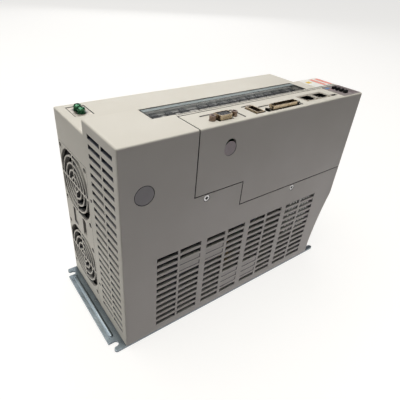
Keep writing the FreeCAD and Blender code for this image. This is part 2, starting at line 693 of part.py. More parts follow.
def cover_screws():
    """Screws in the vented side, seated in their counterbores."""
    screws = []
    for x, z in SIDE_SCREWS:
        seat = FACE_Y + 1.4
        head = rod_y(2.5, x, (seat - 1.2, seat), z)
        cross = [block(pair(x, 0.7), (seat - 2, seat - 0.6), pair(z, 3.0)),
                 block(pair(x, 3.0), (seat - 2, seat - 0.6), pair(z, 0.7))]
        screws.append(head.cut(group(cross)).fuse(rod_y(1.25, x, (seat, FACE_Y + 8.5), z)))
    return group(screws)


def power_board():
    board = block(POWER_BOARD_X, POWER_BOARD_Y, POWER_BOARD_Z)
    holes = [rod_y(BOARD_SCREW_R, x, POWER_BOARD_Y, z) for x, z in SINK_SPACERS]
    holes += [rod_y(SPACER_STUD_R, x, POWER_BOARD_Y, z) for x, z in BOARD_SPACERS]
    return board.cut(group(holes))


def control_board():
    """Board behind the control cover, notched round the panel board."""
    board = block(CONTROL_BOARD_X, CONTROL_BOARD_Y, CONTROL_BOARD_Z)
    notch = block((PANEL_BOARD_X[0] - 0.5, CONTROL_BOARD_X[1] + 1), CONTROL_BOARD_Y,
                  (PANEL_BOARD_Z[0] - 0.4, CONTROL_BOARD_Z[1] + 1))
    holes = [rod_y(BOARD_SCREW_R, x, CONTROL_BOARD_Y, z) for x, z in BOARD_SPACERS]
    holes += [rod_y(SPACER_STUD_R, x, CONTROL_BOARD_Y, z) for x, z in SIDE_SCREWS]
    return board.cut(group([notch] + holes))


def panel_board():
    return block(PANEL_BOARD_X, PANEL_BOARD_Y, PANEL_BOARD_Z)


def board_link():
    """Plug-in header between the two boards."""
    return block(LINK_X, (CONTROL_BOARD_Y[1], POWER_BOARD_Y[0]), LINK_Z)


def capacitor(x, z, radius, length):
    """Can with a rolled groove near its foot and a vent cross in its end."""
    foot = POWER_BOARD_Y[0]
    can = rod_y(radius, x, (foot - length, foot), z)
    can = can.makeFillet(0.8, [e for e in can.Edges if len(e.Vertexes) == 1 and e.BoundBox.YMin < foot - 1])
    groove = Part.makeTorus(radius + 0.5, 1.2, vec(x, foot - 5.0, z), Y_AXIS)
    cross = [block(pair(x, radius), (foot - length - 1, foot - length + 0.3), pair(z, 0.5)),
             block(pair(x, 0.5), (foot - length - 1, foot - length + 0.3), pair(z, radius))]
    return can.cut(group([groove] + cross))


def bus_capacitors():
    return group([capacitor(x, z, CAPACITOR_R, CAPACITOR_LENGTH) for x in CAPACITOR_X for z in CAPACITOR_Z])


def transformer_core():
    """Rectangular core with the centre limb that carries the coil."""
    x, z = TRANSFORMER
    frame = block(pair(x, TRANSFORMER_SIZE[0]), TRANSFORMER_Y, pair(z, TRANSFORMER_SIZE[1]))
    window_y = (TRANSFORMER_Y[0] - 1, TRANSFORMER_Y[1] + 1)
    window = block(pair(x, TRANSFORMER_WINDOW[0]), window_y, pair(z, TRANSFORMER_WINDOW[1]))
    limb = rod_x(LIMB_R, pair(x, TRANSFORMER_WINDOW[0] + 1), sum(TRANSFORMER_Y) / 2, z)
    return frame.cut(window).fuse(limb)


def transformer_winding():
    x, z = TRANSFORMER
    y = sum(TRANSFORMER_Y) / 2
    coil = rod_x(WINDING_R, pair(x, TRANSFORMER_WINDOW[0] - 0.4), y, z)
    return coil.cut(rod_x(LIMB_R, pair(x, TRANSFORMER_WINDOW[0] + 3), y, z))


def relay():
    return soft_box(RELAY_X, (POWER_BOARD_Y[0] - RELAY_HEIGHT, POWER_BOARD_Y[0]), RELAY_Z, 0.8, Y_AXIS)


def shunt_resistors():
    """White ceramic resistors that stand on the power board."""
    y = (POWER_BOARD_Y[0] - RESISTOR_HEIGHT, POWER_BOARD_Y[0])
    return group([soft_box(RESISTOR_X, y, (z, z + RESISTOR_WIDTH), 0.7, Y_AXIS) for z in RESISTOR_Z])


def pin_y(x, z, face_y):
    """Round pin from a package face up to the power board."""
    return rod_y(PIN_R, x, (POWER_BOARD_Y[1], face_y), z)


def power_module():
    """Transistor module on the heat sink, its pins up to the power board."""
    body = soft_box(MODULE_X, (MODULE_FACE_Y, SINK_Y[0] - PAD_THICK), MODULE_Z, 2.0, Y_AXIS)
    pitch = 8.0
    first = MODULE_X[0] + 6.0
    pins = [pin_y(first + k * pitch, z, MODULE_FACE_Y) for k in range(9) for z in MODULE_PIN_Z]
    return fuse([body] + pins)


def rectifier():
    body = soft_box(RECTIFIER_X, (RECTIFIER_FACE_Y, SINK_Y[0] - PAD_THICK), RECTIFIER_Z, 1.5, Y_AXIS)
    pitch = 7.3
    first = RECTIFIER_X[0] + 4.0
    pins = [pin_y(first + k * pitch, sum(RECTIFIER_Z) / 2, RECTIFIER_FACE_Y) for k in range(4)]
    return fuse([body] + pins)


def thermal_pads():
    """Pads under the two packages, 1 mm inside their outlines."""
    y = (SINK_Y[0] - PAD_THICK, SINK_Y[0])
    outlines = ((MODULE_X, MODULE_Z), (RECTIFIER_X, RECTIFIER_Z))
    return group([block((x[0] + 1, x[1] - 1), y, (z[0] + 1, z[1] - 1)) for x, z in outlines])


def terminal_cells():
    """(low, high) X of the space between each pair of neighbouring ribs."""
    lows = [WELL_X[0] + 1.0] + list(RIB_EDGES)
    highs = [edge - RIB_THICK for edge in RIB_EDGES] + [LAST_RIB[0]]
    return list(zip(lows, highs))


def wired_cells():
    """Cells that hold a screw terminal: all but the wide gap between the two groups."""
    return [cell for cell in terminal_cells() if 7.5 < cell[1] - cell[0] < 14.0]


def terminal_block():
    y = BLOCK_Y
    base = block((WELL_X[0] + 0.5, WELL_X[1] - 0.5), y, (WELL_BOTTOM, BLOCK_TOP))
    ribs = [block((edge - RIB_THICK, edge), y, (BLOCK_TOP - 1, RIB_TOP)) for edge in RIB_EDGES]
    ribs.append(block(LAST_RIB, y, (BLOCK_TOP - 1, RIB_TOP)))
    bore_z = (BLOCK_TOP - 9, BLOCK_TOP + 1)
    holes = [rod_z(TERMINAL_SCREW_R, sum(cell) / 2, TERMINAL_SCREW_Y, bore_z) for cell in wired_cells()]
    return fuse([base] + ribs).cut(group(holes))


def terminal_clamps():
    """Square clamp plates under the terminal screws."""
    plates = []
    for cell in wired_cells():
        x = sum(cell) / 2
        plate = block(pair(x, CLAMP_SIDE), CLAMP_Y, (BLOCK_TOP, BLOCK_TOP + CLAMP_THICK))
        bore = rod_z(TERMINAL_SCREW_R, x, TERMINAL_SCREW_Y, (BLOCK_TOP - 1, BLOCK_TOP + 2))
        plates.append(plate.cut(bore))
    return group(plates)


def terminal_screws():
    slot_width = 0.9
    slot_length = 4.4
    screws = []
    for cell in wired_cells():
        x, y = sum(cell) / 2, TERMINAL_SCREW_Y
        seat = BLOCK_TOP + CLAMP_THICK
        head = rod_z(TERMINAL_HEAD_R, x, y, (seat, seat + TERMINAL_HEAD_HEIGHT))
        slot_z = (seat + 1.2, seat + 3)
        cross = [block(pair(x, slot_width), pair(y, slot_length), slot_z),
                 block(pair(x, slot_length), pair(y, slot_width), slot_z)]
        shank = rod_z(TERMINAL_SCREW_R, x, y, (seat - 9, seat))
        screws.append(head.cut(group(cross)).fuse(shank))
    return group(screws)


def terminal_cover():
    """Clear flap with integral hinge pins and a grip lip along its free edge."""
    pivot_y, pivot_z = FLAP_PIVOT
    plate = block(FLAP_X, FLAP_Y, FLAP_Z)
    lip = block(FLAP_X, (FLAP_Y[0], FLAP_Y[0] + 1.2), (FLAP_Z[0] - 1.2, FLAP_Z[0]))
    pins = [rod_x(FLAP_PIN_R, (WELL_X[0] - 1.2, FLAP_X[0] + 3), pivot_y, pivot_z),
            rod_x(FLAP_PIN_R, (FLAP_X[1] - 3, WELL_X[1] + 1.2), pivot_y, pivot_z)]
    return fuse([plate, lip] + pins)


def ground_plate():
    z = (REAR_TOP - WALL - 1.0, GROUND_PLATE_TOP)
    gap = GROUND_PLATE_GAP
    plate = block((GROUND_X[0] + gap, GROUND_X[1] - gap), (GROUND_Y[0] + gap, GROUND_Y[1] - gap), z)
    holes = [rod_z(GROUND_SHANK_R, sum(GROUND_X) / 2, y, (z[0] - 1, z[1] + 1)) for y in GROUND_SCREW_Y]
    return plate.cut(group(holes))


def ground_screws():
    """Domed hexagon-head earth screws with a cross slot, each on a round washer."""
    across_flats = 5.6
    head_height = 4.0
    washer_r = 3.4
    washer_height = 0.9
    slot_width = 0.8
    slot_length = 3.8
    screws = []
    x = sum(GROUND_X) / 2
    top = GROUND_PLATE_TOP + washer_height + head_height
    for y in GROUND_SCREW_Y:
        washer = rod_z(washer_r, x, y, (GROUND_PLATE_TOP, GROUND_PLATE_TOP + washer_height))
        head = hexagon_z(across_flats, x, y, (GROUND_PLATE_TOP + washer_height, top))
        dome = Part.makeSphere(head_height, vec(x, y, top - head_height))
        slot_z = (top - 1.2, top + 1)
        cross = [block(pair(x, slot_width), pair(y, slot_length), slot_z),
                 block(pair(x, slot_length), pair(y, slot_width), slot_z)]
        shank = rod_z(GROUND_SHANK_R, x, y, (REAR_TOP - WALL - 1.0, GROUND_PLATE_TOP))
        screws.append(fuse([head.common(dome), washer, shank]).cut(group(cross)))
    return group(screws)


def d_prism(centre, width, height, z):
    """D-shaped prism: its -Y side is narrower than its +Y side."""
    x, y = centre
    taper = height * math.tan(math.radians(10))
    wide = width / 2
    narrow = width / 2 - taper
    points = [vec(x - wide, y + height / 2, z[0]), vec(x + wide, y + height / 2, z[0]),
              vec(x + narrow, y - height / 2, z[0]), vec(x - narrow, y - height / 2, z[0])]
    solid = Part.Face(Part.makePolygon(points + points[:1])).extrude(vec(0, 0, z[1] - z[0]))
    edges = [e for e in solid.Edges if abs(abs(e.tangentAt(e.FirstParameter).z) - 1) < 1e-6]
    return solid.makeFillet(1.1, edges)


def serial_shell():
    top = DEPTH + SHELL_PROUD
    width, height = SERIAL_SHELL
    outer = d_prism(SERIAL, width, height, (SOCKET_FOOT, top))
    inner = d_prism(SERIAL, width - 1.2, height - 1.2, (SOCKET_FOOT - 1, top + 1))
    return outer.cut(inner)


def serial_insert():
    width, height = SERIAL_SHELL
    core = d_prism(SERIAL, width - 1.2, height - 1.2, (SOCKET_FOOT, DEPTH + SHELL_PROUD - 0.4))
    holes = [rod_z(CONTACT_R, x, y, (170.0, DEPTH + SHELL_PROUD)) for x, y in serial_pin_places()]
    return core.cut(group(holes))


def serial_pin_places():
    """Five pins in the wide row, four in the narrow one."""
    wide = [(SERIAL[0] + (k - 2) * PIN_PITCH, SERIAL[1] + PIN_ROW_Y) for k in range(5)]
    narrow = [(SERIAL[0] + (k - 1.5) * PIN_PITCH, SERIAL[1] - PIN_ROW_Y) for k in range(4)]
    return wide + narrow


def serial_pins():
    return group([rod_z(CONTACT_R, x, y, (170.0, DEPTH + 1.8)) for x, y in serial_pin_places()])


def serial_lugs():
    """Hexagonal jack screws beside the serial socket."""
    lugs = []
    for side in (-1, 1):
        x = SERIAL[0] + side * SERIAL_LUG_PITCH / 2
        head = hexagon_z(LUG_FLATS, x, SERIAL[1], (DEPTH - WALL, DEPTH + LUG_PROUD))
        shank = rod_z(1.4, x, SERIAL[1], (170.0, DEPTH - WALL))
        bore = rod_z(LUG_BORE_R, x, SERIAL[1], (DEPTH - 1, DEPTH + LUG_PROUD + 1))
        lugs.append(head.fuse(shank).cut(bore))
    return group(lugs)


def socket_shell(centre, size, z, wall):
    outer = soft_box(pair(centre[0], size[0]), pair(centre[1], size[1]), z, 0.8, Z_AXIS)
    inner = block(pair(centre[0], size[0] - 2 * wall), pair(centre[1], size[1] - 2 * wall),
                  (z[0] - 1, z[1] + 1))
    return outer.cut(inner)


def encoder_shell():
    return socket_shell(ENCODER, ENCODER_SHELL, (164.0, DEPTH + 0.7), 1.0)


def encoder_insert():
    """Base and contact tongue inside the encoder socket."""
    base = block(pair(ENCODER[0], ENCODER_SHELL[0] - 2.0), pair(ENCODER[1], ENCODER_SHELL[1] - 2.0),
                 (164.0, 170.0))
    tongue = block(pair(ENCODER[0] + 1.0, 1.4), pair(ENCODER[1], ENCODER_SHELL[1] - 4.0), (169.0, 178.0))
    return base.fuse(tongue)


def signal_shell():
    return socket_shell(SIGNAL, SIGNAL_SHELL, (SOCKET_FOOT, DEPTH + SHELL_PROUD), 0.6)


def signal_insert():
    """Contact bar of the wide socket, ribbed along both long sides."""
    width, height = SIGNAL_SHELL
    base = block(pair(SIGNAL[0], width - 1.2), pair(SIGNAL[1], height - 1.2), (SOCKET_FOOT, 172.0))
    bar = block(pair(SIGNAL[0], width - 4.0), pair(SIGNAL[1], 1.4), (171.0, DEPTH + 0.6))
    return base.fuse(bar)


def signal_contacts():
    """Spring contacts along the bar of the wide socket."""
    strips = []
    for k in range(SIGNAL_CONTACTS):
        x = SIGNAL[0] + (k - (SIGNAL_CONTACTS - 1) / 2) * SIGNAL_PITCH
        for side in (-1, 1):
            y = SIGNAL[1] + side * 0.85
            strips.append(block(pair(x, 0.6), pair(y, 0.3), (172.0, DEPTH + 0.2)))
    return group(strips)


def signal_latches():
    """Locking hooks at both ends of the wide socket."""
    latches = []
    for x in LATCHES:
        base = block(x, LATCH_Y, (170.0, DEPTH + 1.6))
        hook = block((x[0] + 0.8, x[1] - 0.8), (LATCH_Y[0] - 1.2, LATCH_Y[0]), (DEPTH + 0.4, DEPTH + 1.6))
        latches.append(base.fuse(hook))
    return group(latches)


def network_jack(centre):
    """Modular socket: metal-clad block with a stepped mouth for the plug's latch."""
    body = soft_box(pair(centre[0], JACK_SIZE[0]), pair(centre[1], JACK_SIZE[1]), (JACK_FOOT, DEPTH - 0.1),
                    0.6, Z_AXIS)
    mouth_x, mouth_y = JACK_MOUTH
    deep = (JACK_FLOOR, DEPTH + 1)
    mouth = block(pair(centre[0], mouth_x), pair(centre[1] + 0.4, mouth_y), deep)
    latch = block(pair(centre[0], 5.6), (centre[1] + 0.4 - mouth_y / 2 - 1.6, centre[1]), deep)
    return body.cut(mouth.fuse(latch))


def network_jacks():
    return group([network_jack(centre) for centre in JACKS])


def network_contacts():
    wires = []
    for x, y in JACKS:
        for k in range(8):
            wire_x = x + (k - 3.5) * JACK_CONTACT_PITCH
            back = y + 0.4 + JACK_MOUTH[1] / 2
            wires.append(block(pair(wire_x, 0.45), (back - 1.4, back), (165.0, 173.0)))
    return group(wires)


def usb_shell():
    return socket_shell(USB, USB_SIZE, (PANEL_BOARD_Z[1], DEPTH - 0.2), 0.35)


def usb_tongue():
    return block(pair(USB[0], 4.0), pair(USB[1] + 0.2, 0.7), (PANEL_BOARD_Z[1], 178.2))


def key(index):
    """Push key: cap through the cover, with a retaining flange under it."""
    x, y = key_centres()[index]
    cap = block(pair(x, KEY_SIZE[0]), pair(y, KEY_SIZE[1]), (DEPTH - WALL - 0.9, DEPTH + KEY_PROUD))
    top_edges = [e for e in cap.Edges if e.BoundBox.ZMin > DEPTH + 1]
    cap = cap.makeFillet(0.4, top_edges)
    flange = block(pair(x, KEY_SIZE[0] + 1.4), pair(y, KEY_SIZE[1] + 0.9),
                   (DEPTH - WALL - 1.2, DEPTH - WALL - 0.2))
    return cap.fuse(flange)


def key_switches():
    switches = []
    for x, y in key_centres():
        body = block(pair(x, 5.0), pair(y, 3.4), (PANEL_BOARD_Z[1], 174.0))
        plunger = rod_z(1.2, x, y, (174.0, DEPTH - WALL - 1.9))
        switches.append(body.fuse(plunger))
    return group(switches)


def display_module():
    """Five-digit display block on the panel board."""
    return block((DISPLAY_X[0] + 0.4, PANEL_BOARD_X[1] - 0.2), (DISPLAY_Y[0] + 0.3, DISPLAY_Y[1] - 0.8),
                 (PANEL_BOARD_Z[1], 176.0))


def display_window():
    return block((DISPLAY_X[0] + 0.1, DISPLAY_X[1] - 0.1), (DISPLAY_Y[0] + 0.1, DISPLAY_Y[1] - 0.1),
                 (DEPTH - WALL, DEPTH - 0.1))


def overlay_film():
    z = (DEPTH, DEPTH + 0.2)
    film = soft_box(FILM_X, FILM_Y, z, 1.0, Z_AXIS)
    cuts = key_hole_cuts(KEY_CLEAR + 0.1, (DEPTH - 1, DEPTH + 1))
    cuts.append(block(DISPLAY_X, DISPLAY_Y, (DEPTH - 1, DEPTH + 1)))
    return film.cut(group(cuts))


def front_label():
    return soft_box((97.6, 123.4), (-25.8, -5.6), (DEPTH, DEPTH + 0.15), 0.8, Z_AXIS)


def knockout_disc():
    x, z = KNOCKOUT
    return rod_y(KNOCKOUT_R, x, (FACE_Y + 0.15, FACE_Y + 1.7), z)


def sticker_dot():
    x, z = DOT
    return rod_y(DOT_R, x, (FACE_Y + 0.3, FACE_Y + 0.5), z)


def numbered(name, index):
    return name + "_" + str(index + 1)


def main():
    os.makedirs("parts", exist_ok=True)
    singles = [base_plate, plate_screws, side_housing, rear_housing, control_cover, fan_cover, fan_screws,
               cover_screws, knockout_disc, sticker_dot, heat_sink, thermal_pads, power_module, rectifier,
               power_board, control_board, panel_board, board_link, board_standoffs, board_screws,
               bus_capacitors, transformer_core, transformer_winding, relay, shunt_resistors,
               terminal_block, terminal_clamps, terminal_screws, terminal_cover, ground_plate, ground_screws,
               serial_shell, serial_insert, serial_pins, serial_lugs, encoder_shell, encoder_insert,
               signal_shell, signal_insert, signal_contacts, signal_latches, network_jacks,
               network_contacts, usb_shell, usb_tongue, key_switches, display_module, display_window,
               overlay_film, front_label]
    for make in singles:
        save(make.__name__, make())
    for index, z in enumerate(FAN_Z):
        save(numbered("fan_frame", index), fan_frame(z))
        save(numbered("fan_rotor", index), fan_rotor(z))
        save(numbered("fan_shaft", index), fan_shaft(z))
    for index in range(4):
        save(numbered("key", index), key(index))


main()
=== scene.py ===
"""Looks of the servo drive: finishes, fine detail, studio light and camera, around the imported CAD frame."""
import json
import math
import random

import bmesh
import bpy
from mathutils import Matrix, Vector


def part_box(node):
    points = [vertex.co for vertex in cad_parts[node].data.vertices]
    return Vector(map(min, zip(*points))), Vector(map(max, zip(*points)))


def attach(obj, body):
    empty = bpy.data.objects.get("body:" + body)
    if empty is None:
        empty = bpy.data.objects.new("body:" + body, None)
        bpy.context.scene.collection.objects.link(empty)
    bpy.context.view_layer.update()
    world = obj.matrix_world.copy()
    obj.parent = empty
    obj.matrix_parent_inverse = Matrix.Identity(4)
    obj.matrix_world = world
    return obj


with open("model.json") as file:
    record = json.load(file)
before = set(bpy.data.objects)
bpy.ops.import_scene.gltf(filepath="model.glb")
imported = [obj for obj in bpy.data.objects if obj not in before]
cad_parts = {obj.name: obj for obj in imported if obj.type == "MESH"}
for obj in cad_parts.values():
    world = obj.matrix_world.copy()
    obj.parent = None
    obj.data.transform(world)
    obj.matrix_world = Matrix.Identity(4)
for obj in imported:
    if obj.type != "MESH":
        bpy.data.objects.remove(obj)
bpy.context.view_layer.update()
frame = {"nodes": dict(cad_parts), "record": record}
NODES = frame["nodes"]
SLOT_OF = {part["node"]: part["material_slot"] for part in frame["record"]["subparts"]}
MM = 0.001
BODY = "chassis"

# Camera above the fan end: place and clipping in metres, turn in degrees, lens and sensor in millimetres,
# shift as a share of the picture
CAMERA_PLACE = (-0.1911, -0.2244, 0.2705)
CAMERA_HEADING = 36.98
CAMERA_PITCH = -33.29
CAMERA_ROLL = 3.71
CAMERA_LENS = 32.86
CAMERA_SENSOR = 36.0
CAMERA_SHIFT = (0.0375, -0.0048)
CAMERA_CLIP = (0.01, 60.0)

# Studio, in metres; the floor lies a hair below the drive so that the two faces don't coincide
ROOM_RADIUS = 12.0
ROOM_HEIGHT = 9.0
ROOM_SIDES = 96
FLOOR_LEVEL = -0.02 * MM
DRIVE_MIDDLE = (0.0, 0.0, 0.1)

# Walls between the power terminals, in millimetres: X of the +X face of each, and their thickness
BARRIER_EDGES = (-63.0, -51.0, -38.5, -22.0, -12.0, -2.0, 8.5, 18.5, 29.0, 39.5, 49.5, 59.5, 69.5)
BARRIER_THICK = 1.5

# Tinned pins behind two columns of vent slots, in millimetres: X of each, Z of the top row, pitch of the rows
PIN_PLACES = (62.0, 66.5, 71.0, 77.5, 81.5, 85.5, 89.0)
PIN_TOP_ROW = 81.6
PIN_ROWS = 6
SLOT_ROW_PITCH = 6.44

# Y of the middle of the groove along the control cover, in millimetres
GROOVE_Y = -26.3

# Small parts on the power board: seed, number of tries, clear edge of the board and the strip kept free
# along its top, in millimetres
BOARD_SEED = 7
BOARD_TRIES = 260
BOARD_EDGE = 8
BOARD_TOP_STRIP = 55

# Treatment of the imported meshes: weld distance and rolled edges in millimetres, angles in degrees
WELD_DISTANCE = 0.002
CREASE_ANGLE = 32
FLAT_ANGLE = 0.3
ROLL_ANGLE = 38
BEVEL_WIDTH = {"housing_plastic": 0.22, "zinc_plate": 0.25, "smoked_clear": 0.2, "black_plastic": 0.12,
               "terminal_plastic": 0.2, "white_ceramic": 0.3, "key_rubber": 0.35, "relay_plastic": 0.3,
               "ferrite": 0.4, "display_smoke": 0.15, "nickel": 0.1, "gold_shell": 0.12, "green_screw": 0.15,
               "bronze_lug": 0.1, "fan_plastic": 0.15, "steel_screw": 0.08, "sink_aluminium": 0.12}
SHARP_NODES = ("network_jacks",)


# ---------------------------------------------------------------- finishes

class Finish:
    """One procedural material, built up layer by layer on a Principled shader.

    Colours are linear red, green and blue; grains, reaches and depths are in millimetres.
    """

    AO_SAMPLES = 8

    def __init__(self, slot, colour, roughness, metallic=0.0, **sockets):
        self.material = bpy.data.materials.new("finish_" + slot)
        self.material.use_nodes = True
        self.tree = self.material.node_tree
        self.shader = self.tree.nodes["Principled BSDF"]
        self.colour = colour
        self.set("Base Color", (*colour, 1.0))
        self.set("Roughness", roughness)
        self.set("Metallic", metallic)
        for name, value in sockets.items():
            self.set(name.replace("_", " "), value)
        self.place = self.tree.nodes.new("ShaderNodeTexCoord").outputs["Object"]
        self.height = None
        self.material.diffuse_color = (*colour, 1.0)

    def set(self, socket, value):
        self.shader.inputs[socket].default_value = value

    def link(self, source, target):
        self.tree.links.new(source, target)

    def stretched(self, scale):
        """Object coordinates scaled by axis, for brushing and extrusion lines."""
        mapping = self.tree.nodes.new("ShaderNodeMapping")
        mapping.inputs["Scale"].default_value = scale
        self.link(self.place, mapping.inputs["Vector"])
        return mapping.outputs["Vector"]

    def noise(self, grain_mm, detail=3.0, stretch=None, distortion=0.0):
        """Noise whose features are about grain_mm across."""
        texture = self.tree.nodes.new("ShaderNodeTexNoise")
        texture.inputs["Scale"].default_value = 1.0 / (grain_mm * MM)
        texture.inputs["Detail"].default_value = detail
        texture.inputs["Distortion"].default_value = distortion
        source = self.stretched(stretch) if stretch else self.place
        self.link(source, texture.inputs["Vector"])
        return texture.outputs["Fac"]

    def ramp(self, factor, stops):
        """Colour ramp from (position, colour) pairs."""
        ramp = self.tree.nodes.new("ShaderNodeValToRGB")
        elements = ramp.color_ramp.elements
        while len(elements) < len(stops):
            elements.new(0.5)
        for element, (position, colour) in zip(elements, stops):
            element.position = position
            element.color = (*colour, 1.0)
        self.link(factor, ramp.inputs["Fac"])
        return ramp.outputs["Color"]

    def range(self, factor, low, high, start=0.3, end=0.7):
        """A factor between start and end, spread over low to high."""
        node = self.tree.nodes.new("ShaderNodeMapRange")
        for name, value in (("From Min", start), ("From Max", end), ("To Min", low), ("To Max", high)):
            node.inputs[name].default_value = value
        self.link(factor, node.inputs["Value"])
        return node.outputs["Result"]

    def mottle(self, spread, grain_mm, tint=(1.0, 1.0, 1.0), stretch=None):
        """Base colour that wanders by +-spread, its dark side tinted."""
        dark = [c * (1 - spread) * t for c, t in zip(self.colour, tint)]
        light = [min(1.0, c * (1 + spread)) for c in self.colour]
        fac = self.noise(grain_mm, stretch=stretch)
        self.link(self.ramp(fac, ((0.3, dark), (0.7, light))), self.shader.inputs["Base Color"])
        return self

    def sheen_spots(self, low, high, grain_mm, stretch=None):
        """Roughness that wanders between two values."""
        fac = self.noise(grain_mm, stretch=stretch)
        self.link(self.range(fac, low, high), self.shader.inputs["Roughness"])
        return self

    def relief(self, factor, depth_mm):
        """One more layer of bump."""
        bump = self.tree.nodes.new("ShaderNodeBump")
        bump.inputs["Distance"].default_value = depth_mm * MM
        self.link(factor, bump.inputs["Height"])
        if self.height is not None:
            self.link(self.height, bump.inputs["Normal"])
        self.height = bump.outputs["Normal"]
        self.link(self.height, self.shader.inputs["Normal"])
        return self

    def inside_box(self, low, high):
        """1 inside a box given in metres, 0 outside it."""
        split = self.tree.nodes.new("ShaderNodeSeparateXYZ")
        self.link(self.place, split.inputs["Vector"])
        product = None
        for axis in range(3):
            for limit, operation in ((low[axis], "GREATER_THAN"), (high[axis], "LESS_THAN")):
                test = self.tree.nodes.new("ShaderNodeMath")
                test.operation = operation
                test.inputs[1].default_value = limit
                self.link(split.outputs[axis], test.inputs[0])
                product = self.combine(product, test.outputs["Value"], "MULTIPLY")
        return product

    def combine(self, first, second, operation):
        """Two factors joined by a math node; no first one leaves the second as it is."""
        if first is None:
            return second
        node = self.tree.nodes.new("ShaderNodeMath")
        node.operation = operation
        self.link(first, node.inputs[0])
        self.link(second, node.inputs[1])
        return node.outputs["Value"]

    def openness(self, reach_mm, start, end, local):
        """0 where the surroundings shut a spot in within reach_mm, 1 where it lies open."""
        shut = self.tree.nodes.new("ShaderNodeAmbientOcclusion")
        shut.only_local = local
        shut.samples = self.AO_SAMPLES
        shut.inputs["Distance"].default_value = reach_mm * MM
        return self.range(shut.outputs["AO"], 0.0, 1.0, start, end)

    def blend(self, factor, at_zero=None, at_one=None):
        """Base colour that follows a factor; the end left out keeps the mottled base colour."""
        mix = self.tree.nodes.new("ShaderNodeMix")
        mix.data_type = "RGBA"
        target = self.shader.inputs["Base Color"]
        for name, colour in (("A", at_zero), ("B", at_one)):
            if colour is None:
                self.link(target.links[0].from_socket, mix.inputs[name])
            else:
                mix.inputs[name].default_value = (*colour, 1.0)
        self.link(factor, mix.inputs["Factor"])
        self.link(mix.outputs["Result"], target)
        return self

    def painted_shade_inside(self, colour, spared):
        """Painted shade: dark colour inside a shell and in its slots, wherever the shell closes a spot in,
        but not in the spared box.
        """
        clear = self.openness(90.0, 0.33, 0.88, local=True)
        return self.blend(self.combine(clear, self.inside_box(*spared), "MAXIMUM"), at_zero=colour)

    def painted_gap_shade(self, colour, reach_mm=3.0, start=0.28, end=0.56):
        """Painted shade in the narrow gaps between one piece and the next, darker where other pieces close a
        spot in within reach_mm.
        """
        return self.blend(self.openness(reach_mm, start, end, local=False), at_zero=colour)

    def worn_edges(self, colour, amount):
        """Lighter wear where the surface turns, broken up by noise."""
        geometry = self.tree.nodes.new("ShaderNodeNewGeometry")
        edge = self.range(geometry.outputs["Pointiness"], 0.0, amount, 0.52, 0.60)
        patches = self.range(self.noise(3.0), 0.2, 1.0)
        return self.blend(self.combine(edge, patches, "MULTIPLY"), at_one=colour)


def housing_plastic():
    """Warm grey moulding with a fine spark-eroded texture, painted shade inside the shell and its slots, and
    painted shade in the gaps next to other pieces.
    """
    finish = Finish("housing_plastic", (0.70, 0.67, 0.60), 0.55, Specular_IOR_Level=0.32)
    finish.mottle(0.025, 60.0, tint=(0.99, 0.985, 0.97)).sheen_spots(0.48, 0.60, 18.0)
    low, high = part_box("terminal_block")
    margin = Vector((2.2, 4.2, 0.5)) * MM
    headroom = Vector((0, 0, 4 * MM))
    terminal_well = (low - margin, high + margin + headroom)
    # painted shade: dark blue-grey inside the shell and on its slot lips, where the shell closes in
    finish.painted_shade_inside((0.035, 0.045, 0.075), spared=terminal_well)
    # painted shade: dark in the narrow gaps next to other pieces
    finish.painted_gap_shade((0.05, 0.047, 0.045))
    return finish.relief(finish.noise(0.45, detail=2.0), 0.03).relief(finish.noise(35.0, detail=1.0), 0.08)


def disc_plastic():
    """Slightly darker moulding of the blanking disc."""
    finish = Finish("disc_plastic", (0.31, 0.295, 0.295), 0.5)
    # painted shade: near black in the ring gap round the disc
    finish.mottle(0.04, 6.0).sheen_spots(0.42, 0.58, 4.0).painted_gap_shade((0.03, 0.03, 0.03))
    return finish.relief(finish.noise(0.4), 0.03)


def dot_paper():
    """Faded paper of the round inspection dot."""
    finish = Finish("dot_paper", (0.50, 0.45, 0.45), 0.6)
    finish.mottle(0.07, 1.6, tint=(1.0, 0.94, 0.93)).sheen_spots(0.5, 0.7, 2.0)
    return finish.relief(finish.noise(0.3), 0.02)


def zinc_plate():
    """Blue zinc over rolled steel sheet: soft clouds, drawn lines along the press direction, and painted
    shade and reflection near the walls that stand on it.
    """
    finish = Finish("zinc_plate", (0.47, 0.54, 0.58), 0.3, metallic=1.0)
    finish.mottle(0.07, 14.0, tint=(0.95, 0.99, 1.03)).sheen_spots(0.26, 0.38, 9.0)
    # painted shade and painted reflection of the housing: the flange darkens towards the walls standing on it
    finish.painted_gap_shade((0.13, 0.155, 0.175), 14.0, 0.50, 0.86)
    return finish.relief(finish.noise(0.5, stretch=(1.0, 0.06, 1.0)), 0.008)


def steel_screw():
    finish = Finish("steel_screw", (0.44, 0.44, 0.43), 0.34, metallic=1.0)
    finish.mottle(0.12, 1.2).sheen_spots(0.2, 0.42, 0.8)
    return finish.relief(finish.noise(0.3), 0.01)


def bright_tin():
    finish = Finish("bright_tin", (0.93, 0.93, 0.92), 0.22, metallic=1.0)
    finish.mottle(0.05, 0.6)
    return finish.relief(finish.noise(0.3), 0.004)


def nickel():
    """Warm nickel of the socket shields, with painted shade making them near black inside their mouths."""
    finish = Finish("nickel", (0.74, 0.69, 0.61), 0.32, metallic=0.55)
    finish.mottle(0.1, 2.0, tint=(1.0, 0.97, 0.9)).sheen_spots(0.26, 0.42, 1.5)
    # painted shade: near black deep in the socket mouths
    finish.painted_gap_shade((0.006, 0.006, 0.006), 12.0, 0.66, 0.92)
    return finish.relief(finish.noise(0.4, stretch=(0.1, 1.0, 1.0)), 0.008)


